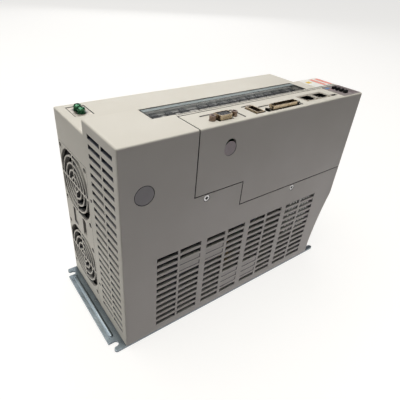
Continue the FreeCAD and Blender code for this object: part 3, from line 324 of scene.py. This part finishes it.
def sink_aluminium():
    """Mill-finish extrusion, its die lines running along X."""
    finish = Finish("sink_aluminium", (0.74, 0.75, 0.76), 0.36, metallic=1.0)
    finish.mottle(0.08, 6.0).sheen_spots(0.3, 0.48, 3.0, stretch=(0.05, 1.0, 1.0))
    return finish.relief(finish.noise(0.35, stretch=(0.02, 1.0, 1.0)), 0.02)


def pad_rubber():
    finish = Finish("pad_rubber", (0.66, 0.66, 0.62), 0.8)
    finish.mottle(0.06, 2.0)
    return finish.relief(finish.noise(0.6), 0.03)


def black_plastic():
    finish = Finish("black_plastic", (0.022, 0.022, 0.024), 0.42)
    finish.mottle(0.2, 3.0).sheen_spots(0.34, 0.52, 2.0)
    return finish.relief(finish.noise(0.25), 0.015)


def terminal_plastic():
    finish = Finish("terminal_plastic", (0.055, 0.055, 0.058), 0.5)
    finish.mottle(0.18, 2.5).sheen_spots(0.4, 0.6, 1.5)
    return finish.relief(finish.noise(0.3, detail=4.0), 0.03)


def fan_plastic():
    finish = Finish("fan_plastic", (0.018, 0.018, 0.019), 0.38)
    finish.mottle(0.25, 5.0).sheen_spots(0.3, 0.5, 3.0)
    return finish.relief(finish.noise(0.3), 0.015)


def key_rubber():
    """Black silicone of the keys."""
    finish = Finish("key_rubber", (0.007, 0.007, 0.008), 0.6, Specular_IOR_Level=0.2)
    finish.mottle(0.2, 1.0).sheen_spots(0.42, 0.6, 1.0)
    return finish.relief(finish.noise(0.2), 0.01)


def board_green():
    """Solder mask over copper tracks: raised lines on a rectangular raster."""
    finish = Finish("board_green", (0.015, 0.115, 0.055), 0.3)
    brick = finish.tree.nodes.new("ShaderNodeTexBrick")
    brick.inputs["Scale"].default_value = 1.0 / (6.0 * MM)
    brick.inputs["Color1"].default_value = (0.012, 0.085, 0.045, 1.0)
    brick.inputs["Color2"].default_value = (0.018, 0.125, 0.06, 1.0)
    brick.inputs["Mortar"].default_value = (0.03, 0.19, 0.09, 1.0)
    brick.inputs["Mortar Size"].default_value = 0.05
    turned = finish.tree.nodes.new("ShaderNodeMapping")
    turned.inputs["Rotation"].default_value = (math.pi / 2, 0.0, 0.0)
    finish.link(finish.place, turned.inputs["Vector"])
    finish.link(turned.outputs["Vector"], brick.inputs["Vector"])
    finish.link(brick.outputs["Color"], finish.shader.inputs["Base Color"])
    return finish.relief(brick.outputs["Fac"], 0.03).sheen_spots(0.24, 0.4, 4.0)


def capacitor_sleeve():
    finish = Finish("capacitor_sleeve", (0.035, 0.04, 0.07), 0.26)
    finish.mottle(0.15, 6.0).sheen_spots(0.2, 0.36, 4.0)
    return finish.relief(finish.noise(2.0), 0.05)


def ferrite():
    finish = Finish("ferrite", (0.06, 0.06, 0.065), 0.6)
    finish.mottle(0.25, 1.0).sheen_spots(0.5, 0.75, 1.0)
    return finish.relief(finish.noise(0.5, detail=5.0), 0.06)


def yellow_tape():
    """Polyester tape in overlapping turns round the coil."""
    finish = Finish("yellow_tape", (0.78, 0.50, 0.07), 0.24)
    finish.mottle(0.1, 4.0, tint=(1.0, 0.9, 0.8))
    wave = finish.tree.nodes.new("ShaderNodeTexWave")
    wave.inputs["Scale"].default_value = 1.0 / (16.0 * MM)
    wave.inputs["Distortion"].default_value = 0.6
    finish.link(finish.place, wave.inputs["Vector"])
    return finish.relief(wave.outputs["Fac"], 0.06)


def relay_plastic():
    finish = Finish("relay_plastic", (0.06, 0.08, 0.13), 0.3)
    finish.mottle(0.15, 3.0).sheen_spots(0.22, 0.4, 2.0)
    return finish.relief(finish.noise(0.4), 0.02)


def white_ceramic():
    finish = Finish("white_ceramic", (0.80, 0.78, 0.72), 0.7)
    finish.mottle(0.05, 1.5, tint=(1.0, 0.98, 0.94)).sheen_spots(0.6, 0.8, 1.0)
    return finish.relief(finish.noise(0.5, detail=5.0), 0.08)


def smoked_clear():
    """Thin smoked sheet: mostly see-through, with faint flow lines and a gloss."""
    finish = Finish("smoked_clear", (0.19, 0.205, 0.205), 0.12, Alpha=0.15, Specular_IOR_Level=0.22)
    finish.mottle(0.05, 30.0)
    return finish.relief(finish.noise(40.0, detail=0.0), 0.01)


def frosted_clear():
    """The same sheet where it is frosted and lets less through."""
    finish = Finish("frosted_clear", (0.40, 0.46, 0.46), 0.45, Alpha=0.55, Specular_IOR_Level=0.3)
    finish.mottle(0.05, 5.0)
    return finish.relief(finish.noise(0.4), 0.01)


def green_screw():
    """Green lacquer over metal, worn pale on the edges."""
    finish = Finish("green_screw", (0.006, 0.125, 0.045), 0.16, metallic=0.55, Coat_Weight=0.6)
    finish.mottle(0.3, 1.6, tint=(0.6, 0.9, 0.9))
    finish.set("Coat Roughness", 0.08)
    return finish.relief(finish.noise(0.8), 0.03).worn_edges((0.10, 0.32, 0.18), 0.4)


def gold_shell():
    """Tarnished gold flash on the connector shells."""
    finish = Finish("gold_shell", (0.58, 0.48, 0.35), 0.28, metallic=1.0)
    finish.mottle(0.18, 2.0, tint=(0.95, 0.88, 0.75)).sheen_spots(0.18, 0.4, 1.4)
    # painted shade: near black in the gaps and mouth of each shell
    finish.painted_gap_shade((0.02, 0.016, 0.012), 4.0, 0.30, 0.62)
    return finish.relief(finish.noise(0.4), 0.01)


def gold_contact():
    finish = Finish("gold_contact", (0.83, 0.62, 0.26), 0.2, metallic=1.0)
    # painted shade: dark where the contacts sit deep among other pieces
    finish.mottle(0.08, 0.8).painted_gap_shade((0.03, 0.02, 0.008), 4.0, 0.40, 0.80)
    return finish.relief(finish.noise(0.2), 0.004)


def bronze_lug():
    """Brown bronze of the screw locks, rubbed bright on the edges."""
    finish = Finish("bronze_lug", (0.25, 0.18, 0.145), 0.28, metallic=1.0)
    finish.mottle(0.22, 0.9, tint=(0.9, 0.85, 0.8)).sheen_spots(0.2, 0.42, 0.8)
    return finish.relief(finish.noise(0.3), 0.01).worn_edges((0.60, 0.50, 0.42), 0.6)


def display_smoke():
    """Smoked window over the digits."""
    finish = Finish("display_smoke", (0.30, 0.25, 0.26), 0.14, Alpha=0.88, Specular_IOR_Level=0.3)
    finish.mottle(0.08, 5.0)
    return finish.relief(finish.noise(9.0, detail=1.0), 0.02)


def film():
    """Printed polyester film with a fine satin emboss."""
    finish = Finish("film", (0.31, 0.27, 0.27), 0.36, Specular_IOR_Level=0.35)
    finish.mottle(0.03, 8.0).sheen_spots(0.28, 0.42, 5.0)
    return finish.relief(finish.noise(0.25), 0.01)


def label_paper():
    finish = Finish("label_paper", (0.95, 0.94, 0.91), 0.36)
    finish.mottle(0.02, 4.0, tint=(1.0, 0.995, 0.97)).sheen_spots(0.3, 0.45, 4.0)
    return finish.relief(finish.noise(0.5), 0.008)


def print_red():
    finish = Finish("print_red", (0.93, 0.33, 0.28), 0.36)
    finish.mottle(0.08, 1.0, tint=(1.0, 1.15, 1.15))
    return finish.relief(finish.noise(0.3), 0.005)


def print_yellow():
    finish = Finish("print_yellow", (0.85, 0.60, 0.08), 0.36)
    finish.mottle(0.06, 1.0)
    return finish.relief(finish.noise(0.3), 0.005)


def print_blue():
    finish = Finish("print_blue", (0.16, 0.30, 0.55), 0.32)
    finish.mottle(0.08, 0.8)
    return finish.relief(finish.noise(0.3), 0.005)


def print_pink():
    finish = Finish("print_pink", (0.62, 0.32, 0.36), 0.34)
    finish.mottle(0.06, 0.8)
    return finish.relief(finish.noise(0.3), 0.005)


def chip_epoxy():
    finish = Finish("chip_epoxy", (0.02, 0.02, 0.022), 0.6, Specular_IOR_Level=0.15)
    finish.mottle(0.2, 0.8)
    return finish.relief(finish.noise(0.2), 0.02)


def pale_resin():
    finish = Finish("pale_resin", (0.62, 0.60, 0.50), 0.4)
    finish.mottle(0.1, 1.4, tint=(1.0, 0.96, 0.88))
    return finish.relief(finish.noise(0.4), 0.02)


def lamp_lens():
    finish = Finish("lamp_lens", (0.45, 0.36, 0.22), 0.12, Transmission_Weight=0.25)
    finish.mottle(0.1, 0.8)
    return finish.relief(finish.noise(0.5), 0.01)


MAKERS = (housing_plastic, disc_plastic, dot_paper, zinc_plate, steel_screw, bright_tin, nickel,
          sink_aluminium, pad_rubber, black_plastic, terminal_plastic, fan_plastic, key_rubber, board_green,
          capacitor_sleeve, ferrite, yellow_tape, relay_plastic, white_ceramic, smoked_clear, frosted_clear,
          green_screw, gold_shell, gold_contact, bronze_lug, display_smoke, film, label_paper, print_red,
          print_yellow, print_blue, print_pink, chip_epoxy, pale_resin, lamp_lens)
FINISHES = {maker.__name__: maker().material for maker in MAKERS}


# ---------------------------------------------------------------- carried-over CAD nodes

def clean_group():
    """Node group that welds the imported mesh, drops its stored normals and smooths its curved faces."""
    group = bpy.data.node_groups.new("weld_and_smooth", "GeometryNodeTree")
    group.interface.new_socket("Geometry", in_out="INPUT", socket_type="NodeSocketGeometry")
    group.interface.new_socket("Geometry", in_out="OUTPUT", socket_type="NodeSocketGeometry")
    nodes, links = group.nodes, group.links
    source = nodes.new("NodeGroupInput")
    result = nodes.new("NodeGroupOutput")
    drop = nodes.new("GeometryNodeRemoveAttribute")
    drop.inputs["Name"].default_value = "custom_normal"
    weld = nodes.new("GeometryNodeMergeByDistance")
    weld.inputs["Distance"].default_value = WELD_DISTANCE * MM
    round_faces = nodes.new("GeometryNodeSetShadeSmooth")
    crease = nodes.new("GeometryNodeSetShadeSmooth")
    crease.domain = "EDGE"
    crease.inputs["Shade Smooth"].default_value = False
    angle = nodes.new("GeometryNodeInputMeshEdgeAngle")
    sharp = nodes.new("FunctionNodeCompare")
    sharp.operation = "GREATER_THAN"
    sharp.inputs["B"].default_value = math.radians(CREASE_ANGLE)
    previous = source.outputs[0]
    for node in (drop, weld, round_faces, crease):
        links.new(previous, node.inputs["Geometry"])
        previous = node.outputs["Geometry"]
    links.new(angle.outputs["Unsigned Angle"], sharp.inputs["A"])
    links.new(sharp.outputs["Result"], crease.inputs["Selection"])
    links.new(previous, result.inputs[0])
    return group


CLEAN = clean_group()


def soften(obj, width_mm):
    """Small rolled edge on every corner of a piece."""
    bevel = obj.modifiers.new("rolled_edges", "BEVEL")
    bevel.width = width_mm * MM
    bevel.segments = 2
    bevel.limit_method = "ANGLE"
    bevel.angle_limit = math.radians(ROLL_ANGLE)
    bevel.harden_normals = True
    bevel.use_clamp_overlap = True


def dress_cad_node(name, obj):
    """Finish of its slot, smooth curved faces and rolled edges for one CAD node; its mesh stays as imported.
    """
    slot = SLOT_OF[name]
    obj.data.materials.clear()
    obj.data.materials.append(FINISHES[slot])
    obj.modifiers.new("clean", "NODES").node_group = CLEAN
    if slot in BEVEL_WIDTH and name not in SHARP_NODES:
        dissolve = obj.modifiers.new("flats", "DECIMATE")
        dissolve.decimate_type = "DISSOLVE"
        dissolve.angle_limit = math.radians(FLAT_ANGLE)
        soften(obj, BEVEL_WIDTH[slot])


for node_name, node_object in NODES.items():
    dress_cad_node(node_name, node_object)


# ---------------------------------------------------------------- detail pieces

def add_piece(name, bm, finish, body=BODY, edge_mm=0.0):
    """A finished mesh piece on a body."""
    bmesh.ops.recalc_face_normals(bm, faces=bm.faces)
    mesh = bpy.data.meshes.new(name)
    bm.to_mesh(mesh)
    bm.free()
    piece = bpy.data.objects.new(name, mesh)
    bpy.context.scene.collection.objects.link(piece)
    mesh.materials.append(FINISHES[finish])
    if edge_mm:
        soften(piece, edge_mm)
    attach(piece, body)


def add_prism(bm, outline, low, high, axis=2):
    """Closed prism: an outline in the other two axes, extruded along axis from low to high."""
    def corner(point, level):
        coords = list(point)
        coords.insert(axis, level)
        return bm.verts.new(coords)
    base = [corner(point, low) for point in outline]
    lid = [corner(point, high) for point in outline]
    bm.faces.new(base[::-1])
    bm.faces.new(lid)
    count = len(outline)
    for k in range(count):
        nxt = (k + 1) % count
        bm.faces.new((base[k], base[nxt], lid[nxt], lid[k]))


def add_box(bm, low, high):
    """Box between two corners."""
    outline = [(low[0], low[1]), (high[0], low[1]), (high[0], high[1]), (low[0], high[1])]
    add_prism(bm, outline, low[2], high[2])


def rounded_outline(low, high, radius, steps=4):
    """Rectangle with quarter-circle corners."""
    points = []
    corners = ((high[0] - radius, high[1] - radius, 0), (low[0] + radius, high[1] - radius, 1),
               (low[0] + radius, low[1] + radius, 2), (high[0] - radius, low[1] + radius, 3))
    for x, y, quarter in corners:
        for k in range(steps + 1):
            angle = (quarter + k / steps) * math.pi / 2
            points.append((x + radius * math.cos(angle), y + radius * math.sin(angle)))
    return points


def circle_outline(centre, radius, steps):
    """Regular polygon that stands for a circle."""
    return [(centre[0] + radius * math.cos(2 * math.pi * k / steps),
             centre[1] + radius * math.sin(2 * math.pi * k / steps)) for k in range(steps)]


def print_patches(name, finish, outlines, level, body=BODY):
    """Printed areas on a flat face, as a thin raised ink film."""
    bm = bmesh.new()
    for outline in outlines:
        add_prism(bm, outline, level - 0.01 * MM, level + 0.05 * MM)
    add_piece(name, bm, finish, body)


def label_print():
    """Two pale-red bars and a plain yellow patch on the white front label."""
    low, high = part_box("front_label")
    along, across = high.x - low.x, high.y - low.y
    margin = 0.06 * across
    bars = [rounded_outline((low.x + start * along, low.y + margin), (low.x + end * along, high.y - margin),
                            0.3 * MM)
            for start, end in ((0.49, 0.66), (0.79, 0.96))]
    print_patches("label_bars", "print_red", bars, high.z)
    patch_x, half = low.x + 0.20 * along, 2.6 * MM
    patch = rounded_outline((patch_x - half, high.y - 9.5 * MM), (patch_x + half, high.y - 5.0 * MM),
                            0.8 * MM)
    print_patches("label_patch", "print_yellow", [patch], high.z)


def film_print():
    """Plain blue mark and a thin pink rule on the keypad film."""
    low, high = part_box("overlay_film")
    mark = rounded_outline((low.x + 1.6 * MM, high.y - 4.6 * MM), (low.x + 6.8 * MM, high.y - 1.6 * MM),
                           1.4 * MM, steps=6)
    print_patches("film_mark", "print_blue", [mark], high.z)
    rule = rounded_outline((low.x + 1.4 * MM, high.y - 6.6 * MM), (low.x + 6.6 * MM, high.y - 6.0 * MM),
                           0.25 * MM)
    print_patches("film_rule", "print_pink", [rule], high.z)


def digits():
    """Unlit seven-segment digits on the face of the display block."""
    low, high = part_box("display_module")
    count = 5
    pitch = (high.y - low.y) / count
    tall, wide = 3.6 * MM, 1.7 * MM
    bar, thick = 0.28 * MM, 0.05 * MM
    x = (low.x + high.x) / 2
    bm = bmesh.new()
    for k in range(count):
        y = low.y + (k + 0.5) * pitch
        for dx in (-tall / 2, 0.0, tall / 2):
            add_box(bm, (x + dx - bar / 2, y - wide / 2 + bar, high.z),
                    (x + dx + bar / 2, y + wide / 2 - bar, high.z + thick))
        for side in (-1, 1):
            for start in (-tall / 2, 0.0):
                add_box(bm, (x + start + bar, y + side * wide / 2 - bar / 2, high.z),
                        (x + start + tall / 2 - bar, y + side * wide / 2 + bar / 2, high.z + thick))
    add_piece("display_segments", bm, "pale_resin")


def jack_details():
    """Contact springs of the metal shield and two lamps at each network socket."""
    low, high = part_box("network_jacks")
    inset = 7.5 * MM
    middle_y = (low.y + high.y) / 2
    lamp_y = low.y + 1.0 * MM
    springs, lamps = bmesh.new(), bmesh.new()
    for socket_x in (low.x + inset, high.x - inset):
        for side in (-1, 1):
            x = socket_x + side * 5.6 * MM
            for k in (-1, 1):
                y = middle_y + k * 2.0 * MM
                add_box(springs, (x - 0.5 * MM, y - 0.7 * MM, high.z),
                        (x + 0.5 * MM, y + 0.7 * MM, high.z + 0.25 * MM))
            outline = rounded_outline((x - 0.8 * MM, lamp_y - 0.5 * MM), (x + 0.8 * MM, lamp_y + 0.5 * MM),
                                      0.25 * MM)
            add_prism(lamps, outline, high.z, high.z + 0.2 * MM)
    add_piece("jack_springs", springs, "nickel", edge_mm=0.08)
    add_piece("jack_lamps", lamps, "lamp_lens")


def legend_ramps():
    """Pale slope over each terminal and a pale strip along their heads, clear of the open flap's swing."""
    low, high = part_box("terminal_block")
    gap = 0.1
    back = high.y - 0.05 * MM
    front = back - 8.2 * MM
    top = high.z + 0.45 * MM
    foot = high.z - 3.4 * MM
    outline = [(back, top - 0.8 * MM), (back, top), (back - 0.3 * MM, top), (front, foot + 0.6 * MM),
               (front, foot)]
    bm = bmesh.new()
    starts = [low.x + gap * MM] + [(edge + gap) * MM for edge in BARRIER_EDGES]
    ends = [(edge - BARRIER_THICK - gap) * MM for edge in BARRIER_EDGES] + [high.x - gap * MM]
    for start, end in zip(starts, ends):
        add_prism(bm, outline, start, end, axis=0)
    add_box(bm, (low.x + gap * MM, back - 3.2 * MM, high.z + 0.05 * MM),
            (high.x - gap * MM, back, high.z + 0.4 * MM))
    add_piece("legend_ramps", bm, "label_paper", edge_mm=0.1)


def barrier_caps():
    """Dark tapering cap on each barrier between two terminals, broad at the wire side."""
    low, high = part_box("terminal_block")
    near, far = low.y + 0.7 * MM, high.y - 3.4 * MM
    broad, slim = 4.3 * MM, 1.9 * MM
    bm = bmesh.new()
    for edge in BARRIER_EDGES:
        x = (edge - BARRIER_THICK / 2) * MM
        outline = [(x - broad, near), (x + broad, near), (x + slim, far), (x - slim, far)]
        add_prism(bm, outline, high.z - 0.4 * MM, high.z + 0.5 * MM)
    add_piece("barrier_caps", bm, "terminal_plastic", edge_mm=0.2)


def well_shade_ledge():
    """Painted shade: a dark ledge in the terminal well beside the free edge of the flap, standing for the
    shaded gap there.
    """
    low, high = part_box("terminal_cover")
    near, far = low.y - 2.7 * MM, low.y - 0.3 * MM
    outline = rounded_outline((low.x + 1.2 * MM, near), (high.x, far), 0.3 * MM, 2)
    bm = bmesh.new()
    add_prism(bm, outline, high.z - 2.1 * MM, high.z - 1.5 * MM)
    # black piece that stands for the shade in the gap beside the flap
    add_piece("well_shade_ledge", bm, "chip_epoxy")


def flap_border_shade():
    """Dark border round the clear flap: a thin printed edge, widened at its free edge and fan end into
    painted shadow of the well wall; and a frosted band.
    """
    low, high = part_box("terminal_cover")
    x0, x1 = low.x + 1.0 * MM, high.x - 1.0 * MM
    y0, y1 = low.y, high.y
    wide, narrow, band, corner = 1.5 * MM, 0.35 * MM, 4.4 * MM, 0.05 * MM
    strips = [((x0, y0), (x1, y0 + wide)), ((x0, y1 - narrow), (x1, y1)),
              ((x0, y0 + wide), (x0 + wide, y1 - narrow)),
              ((x1 - narrow, y0 + wide), (x1, y1 - narrow))]
    outlines = [rounded_outline(start, end, corner, 1) for start, end in strips]
    # the wide strips at the free edge and fan end are painted shadow of the well wall, the narrow ones print
    print_patches("flap_border_shade", "chip_epoxy", outlines, high.z, "terminal_flap")
    frosted = rounded_outline((x0 + wide, y1 - narrow - band), (x1 - narrow, y1 - narrow), corner, 1)
    print_patches("flap_frost", "frosted_clear", [frosted], high.z, "terminal_flap")


def screw_socket_shade():
    """Painted shade: black hexagons on the heads of the two side screws, standing for the shade in their
    sockets.
    """
    low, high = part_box("cover_screws")
    bm = bmesh.new()
    head = 2.5 * MM
    socket = 1.25 * MM
    for centre in ((low.x + head, high.z - head), (high.x - head, low.z + head)):
        add_prism(bm, circle_outline(centre, socket, 6), low.y - 0.03 * MM, low.y + 0.3 * MM, axis=1)
    add_piece("screw_socket_shade", bm, "chip_epoxy")


def taped_choke():
    """Choke wound with yellow tape on top of the supply transformer."""
    low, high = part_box("transformer_core")
    bm = bmesh.new()
    centre_x, centre_z = low.x + 8.0 * MM, (low.z + high.z) / 2 + 1.5 * MM
    half_x, half_z = 3.6 * MM, 5.0 * MM
    outline = rounded_outline((centre_x - half_x, centre_z - half_z), (centre_x + half_x, centre_z + half_z),
                              1.2 * MM)
    add_prism(bm, outline, low.y - 7.6 * MM, low.y, axis=1)
    add_piece("taped_choke", bm, "yellow_tape", edge_mm=0.4)


def hub_labels():
    """Plain round label on the hub of each fan rotor."""
    for number, body in ((1, "upper_fan"), (2, "lower_fan")):
        low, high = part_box("fan_rotor_%d" % number)
        centre = ((low.y + high.y) / 2, (low.z + high.z) / 2)
        label = bmesh.new()
        add_prism(label, circle_outline(centre, 9.5 * MM, 48), low.x - 0.1 * MM, low.x + 0.05 * MM, axis=0)
        add_piece("hub_label_%d" % number, label, "label_paper", body=body)


def overlap(first, second, gap):
    """Whether two (x from, x to, z from, z to) rectangles lie closer than gap."""
    return (first[0] < second[1] + gap and first[1] > second[0] - gap
            and first[2] < second[3] + gap and first[3] > second[2] - gap)


def board_parts():
    """Small parts strewn over the power board, seen through the vent slots."""
    draw = random.Random(BOARD_SEED)
    low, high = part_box("power_board")
    face = low.y
    chips, resistors, cans = bmesh.new(), bmesh.new(), bmesh.new()
    kinds = ((chips, (9.0, 3.0, 6.0)), (resistors, (6.5, 3.4, 2.6)), (cans, (7.0, 9.0, 7.0)))
    large = [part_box(name) for name in ("bus_capacitors", "transformer_core", "relay", "shunt_resistors")]
    taken = [(a.x, b.x, a.z, b.z) for a, b in large if a.y < face]
    placed = []
    for _ in range(BOARD_TRIES):
        kind, (dx, dy, dz) = kinds[draw.randrange(3)]
        x = draw.uniform(low.x + BOARD_EDGE * MM, high.x - BOARD_EDGE * MM)
        z = draw.uniform(low.z + BOARD_EDGE * MM, high.z - BOARD_TOP_STRIP * MM)
        half_x, half_z = dx * MM / 2, dz * MM / 2
        spot = (x - half_x, x + half_x, z - half_z, z + half_z)
        if any(overlap(spot, other, 0.0) for other in taken):
            continue
        if any(overlap(spot, other, MM) for other in placed):
            continue
        placed.append(spot)
        if kind is cans:
            outline = circle_outline((x, z), half_x, 20)
        else:
            outline = rounded_outline((spot[0], spot[2]), (spot[1], spot[3]), 0.4 * MM, 2)
        add_prism(kind, outline, face - dy * MM, face, axis=1)
    add_piece("power_board_chips", chips, "chip_epoxy", edge_mm=0.15)
    add_piece("power_board_resistors", resistors, "pale_resin", edge_mm=0.2)
    add_piece("power_board_cans", cans, "capacitor_sleeve", edge_mm=0.3)


def tinned_pins():
    """Rows of tinned pins over the brake resistors, their cut ends bright in the slots."""
    low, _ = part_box("shunt_resistors")
    wall_low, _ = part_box("side_housing")
    tip = wall_low.y + 1.2 * MM
    bm = bmesh.new()
    for row in range(PIN_ROWS):
        z = (PIN_TOP_ROW - row * SLOT_ROW_PITCH) * MM
        for x in PIN_PLACES:
            add_prism(bm, circle_outline((x * MM, z), 0.9 * MM, 12), tip, low.y, axis=1)
    add_piece("tinned_pins", bm, "bright_tin")


def groove_shade_cord():
    """Painted shade: a dark strip in the groove that runs along the control cover, standing for the shadow in
    it.
    """
    low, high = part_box("control_cover")
    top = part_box("side_housing")[1].z
    middle, half = GROOVE_Y * MM, 0.36 * MM
    outline = rounded_outline((low.x + 1.0 * MM, middle - half), (high.x - 1.0 * MM, middle + half),
                              0.1 * MM, 2)
    bm = bmesh.new()
    add_prism(bm, outline, top - 1.19 * MM, top - 0.25 * MM)
    # dark strip that stands for the shadow in the groove
    add_piece("groove_shade_cord", bm, "chip_epoxy")


label_print()
film_print()
digits()
jack_details()
legend_ramps()
barrier_caps()
well_shade_ledge()
flap_border_shade()
screw_socket_shade()
taped_choke()
hub_labels()
board_parts()
tinned_pins()
groove_shade_cord()


# ---------------------------------------------------------------- studio

def camera_matrix():
    """Place and turn of the camera, from its heading, pitch and roll."""
    heading, pitch, roll = (math.radians(a) for a in (CAMERA_HEADING, CAMERA_PITCH, CAMERA_ROLL))
    forward = Vector((math.sin(heading) * math.cos(pitch), math.cos(heading) * math.cos(pitch),
                      math.sin(pitch)))
    right = Vector((math.cos(heading), -math.sin(heading), 0.0))
    right.rotate(Matrix.Rotation(-roll, 3, forward))
    up = right.cross(forward)
    turn = Matrix((right, up, -forward)).transposed()
    return Matrix.Translation(CAMERA_PLACE) @ turn.to_4x4()


def make_camera():
    data = bpy.data.cameras.new("studio_camera")
    data.lens = CAMERA_LENS
    data.sensor_width = CAMERA_SENSOR
    data.shift_x, data.shift_y = CAMERA_SHIFT
    data.clip_start, data.clip_end = CAMERA_CLIP
    camera = bpy.data.objects.new("studio_camera", data)
    camera.matrix_world = camera_matrix()
    bpy.context.scene.collection.objects.link(camera)
    bpy.context.scene.camera = camera


def soft_light(name, place, target, size, power, colour):
    """Rectangular lamp aimed at a target: lengths in metres, power in watts."""
    data = bpy.data.lights.new(name, "AREA")
    data.shape = "RECTANGLE"
    data.size, data.size_y = size
    data.energy = power
    data.color = colour
    light = bpy.data.objects.new(name, data)
    light.location = place
    aim = Vector(target) - Vector(place)
    light.rotation_euler = aim.to_track_quat("-Z", "Y").to_euler()
    light.visible_camera = False
    bpy.context.scene.collection.objects.link(light)


def make_lights():
    """A large softbox above, weak glows from the floor and two fills; a dim cool world evens them out."""
    soft_light("ceiling_softbox", place=(-0.25, 0.15, 1.6), target=DRIVE_MIDDLE, size=(1.8, 1.8), power=30.0,
               colour=(1.0, 0.985, 0.95))
    soft_light("left_floor_glow", place=(-0.25, 0.06, 0.005), target=(-0.12, 0.01, 0.04), size=(0.2, 0.2),
               power=0.13, colour=(1.0, 0.98, 0.95))
    soft_light("side_floor_glow", place=(0.06, -0.22, 0.005), target=(0.03, -0.055, 0.06), size=(0.5, 0.1),
               power=0.12, colour=(0.94, 0.90, 1.0))
    soft_light("front_fill", place=(0.9, -1.7, 0.25), target=DRIVE_MIDDLE, size=(1.4, 0.6), power=0.7,
               colour=(0.93, 0.90, 1.0))
    soft_light("back_fill", place=(0.9, 1.6, 0.8), target=DRIVE_MIDDLE, size=(1.4, 1.2), power=7.0,
               colour=(0.98, 0.98, 1.0))
    world = bpy.data.worlds.new("studio_air")
    world.use_nodes = True
    background = world.node_tree.nodes["Background"]
    background.inputs["Color"].default_value = (0.88, 0.88, 1.0, 1.0)
    background.inputs["Strength"].default_value = 0.030
    bpy.context.scene.world = world
    bpy.context.scene.view_settings.view_transform = "Standard"


def paper_finish():
    """Pale studio paper that glows a little, so it stays plain and even."""
    paper = bpy.data.materials.new("studio_paper")
    paper.use_nodes = True
    shader = paper.node_tree.nodes["Principled BSDF"]
    shader.inputs["Base Color"].default_value = (0.30, 0.298, 0.29, 1.0)
    shader.inputs["Roughness"].default_value = 0.9
    shader.inputs["Specular IOR Level"].default_value = 0.0
    shader.inputs["Emission Color"].default_value = (1.0, 0.99, 0.97, 1.0)
    shader.inputs["Emission Strength"].default_value = 0.78
    return paper


def add_stage(name, bm, paper):
    """Piece of the studio, seen by the camera but sending no light onto the drive's matt faces."""
    mesh = bpy.data.meshes.new(name)
    bm.to_mesh(mesh)
    bm.free()
    mesh.materials.append(paper)
    piece = bpy.data.objects.new(name, mesh)
    bpy.context.scene.collection.objects.link(piece)
    piece.visible_diffuse = False
    return piece


def make_room():
    """Plain pale floor just under the drive, and a far round wall of the same paper."""
    paper = paper_finish()
    rim = [(x, y, FLOOR_LEVEL) for x, y in circle_outline((0.0, 0.0), ROOM_RADIUS, ROOM_SIDES)]
    floor = bmesh.new()
    floor.faces.new([floor.verts.new(place) for place in rim])
    add_stage("studio_floor", floor, paper)
    wall = bmesh.new()
    feet = [wall.verts.new(place) for place in rim]
    heads = [wall.verts.new((v.co.x, v.co.y, ROOM_HEIGHT)) for v in feet]
    for k in range(len(feet)):
        nxt = (k + 1) % len(feet)
        wall.faces.new((feet[nxt], feet[k], heads[k], heads[nxt]))
    backdrop = add_stage("studio_wall", wall, paper)
    backdrop.visible_glossy = False
    backdrop.visible_shadow = False


make_camera()
make_lights()
make_room()
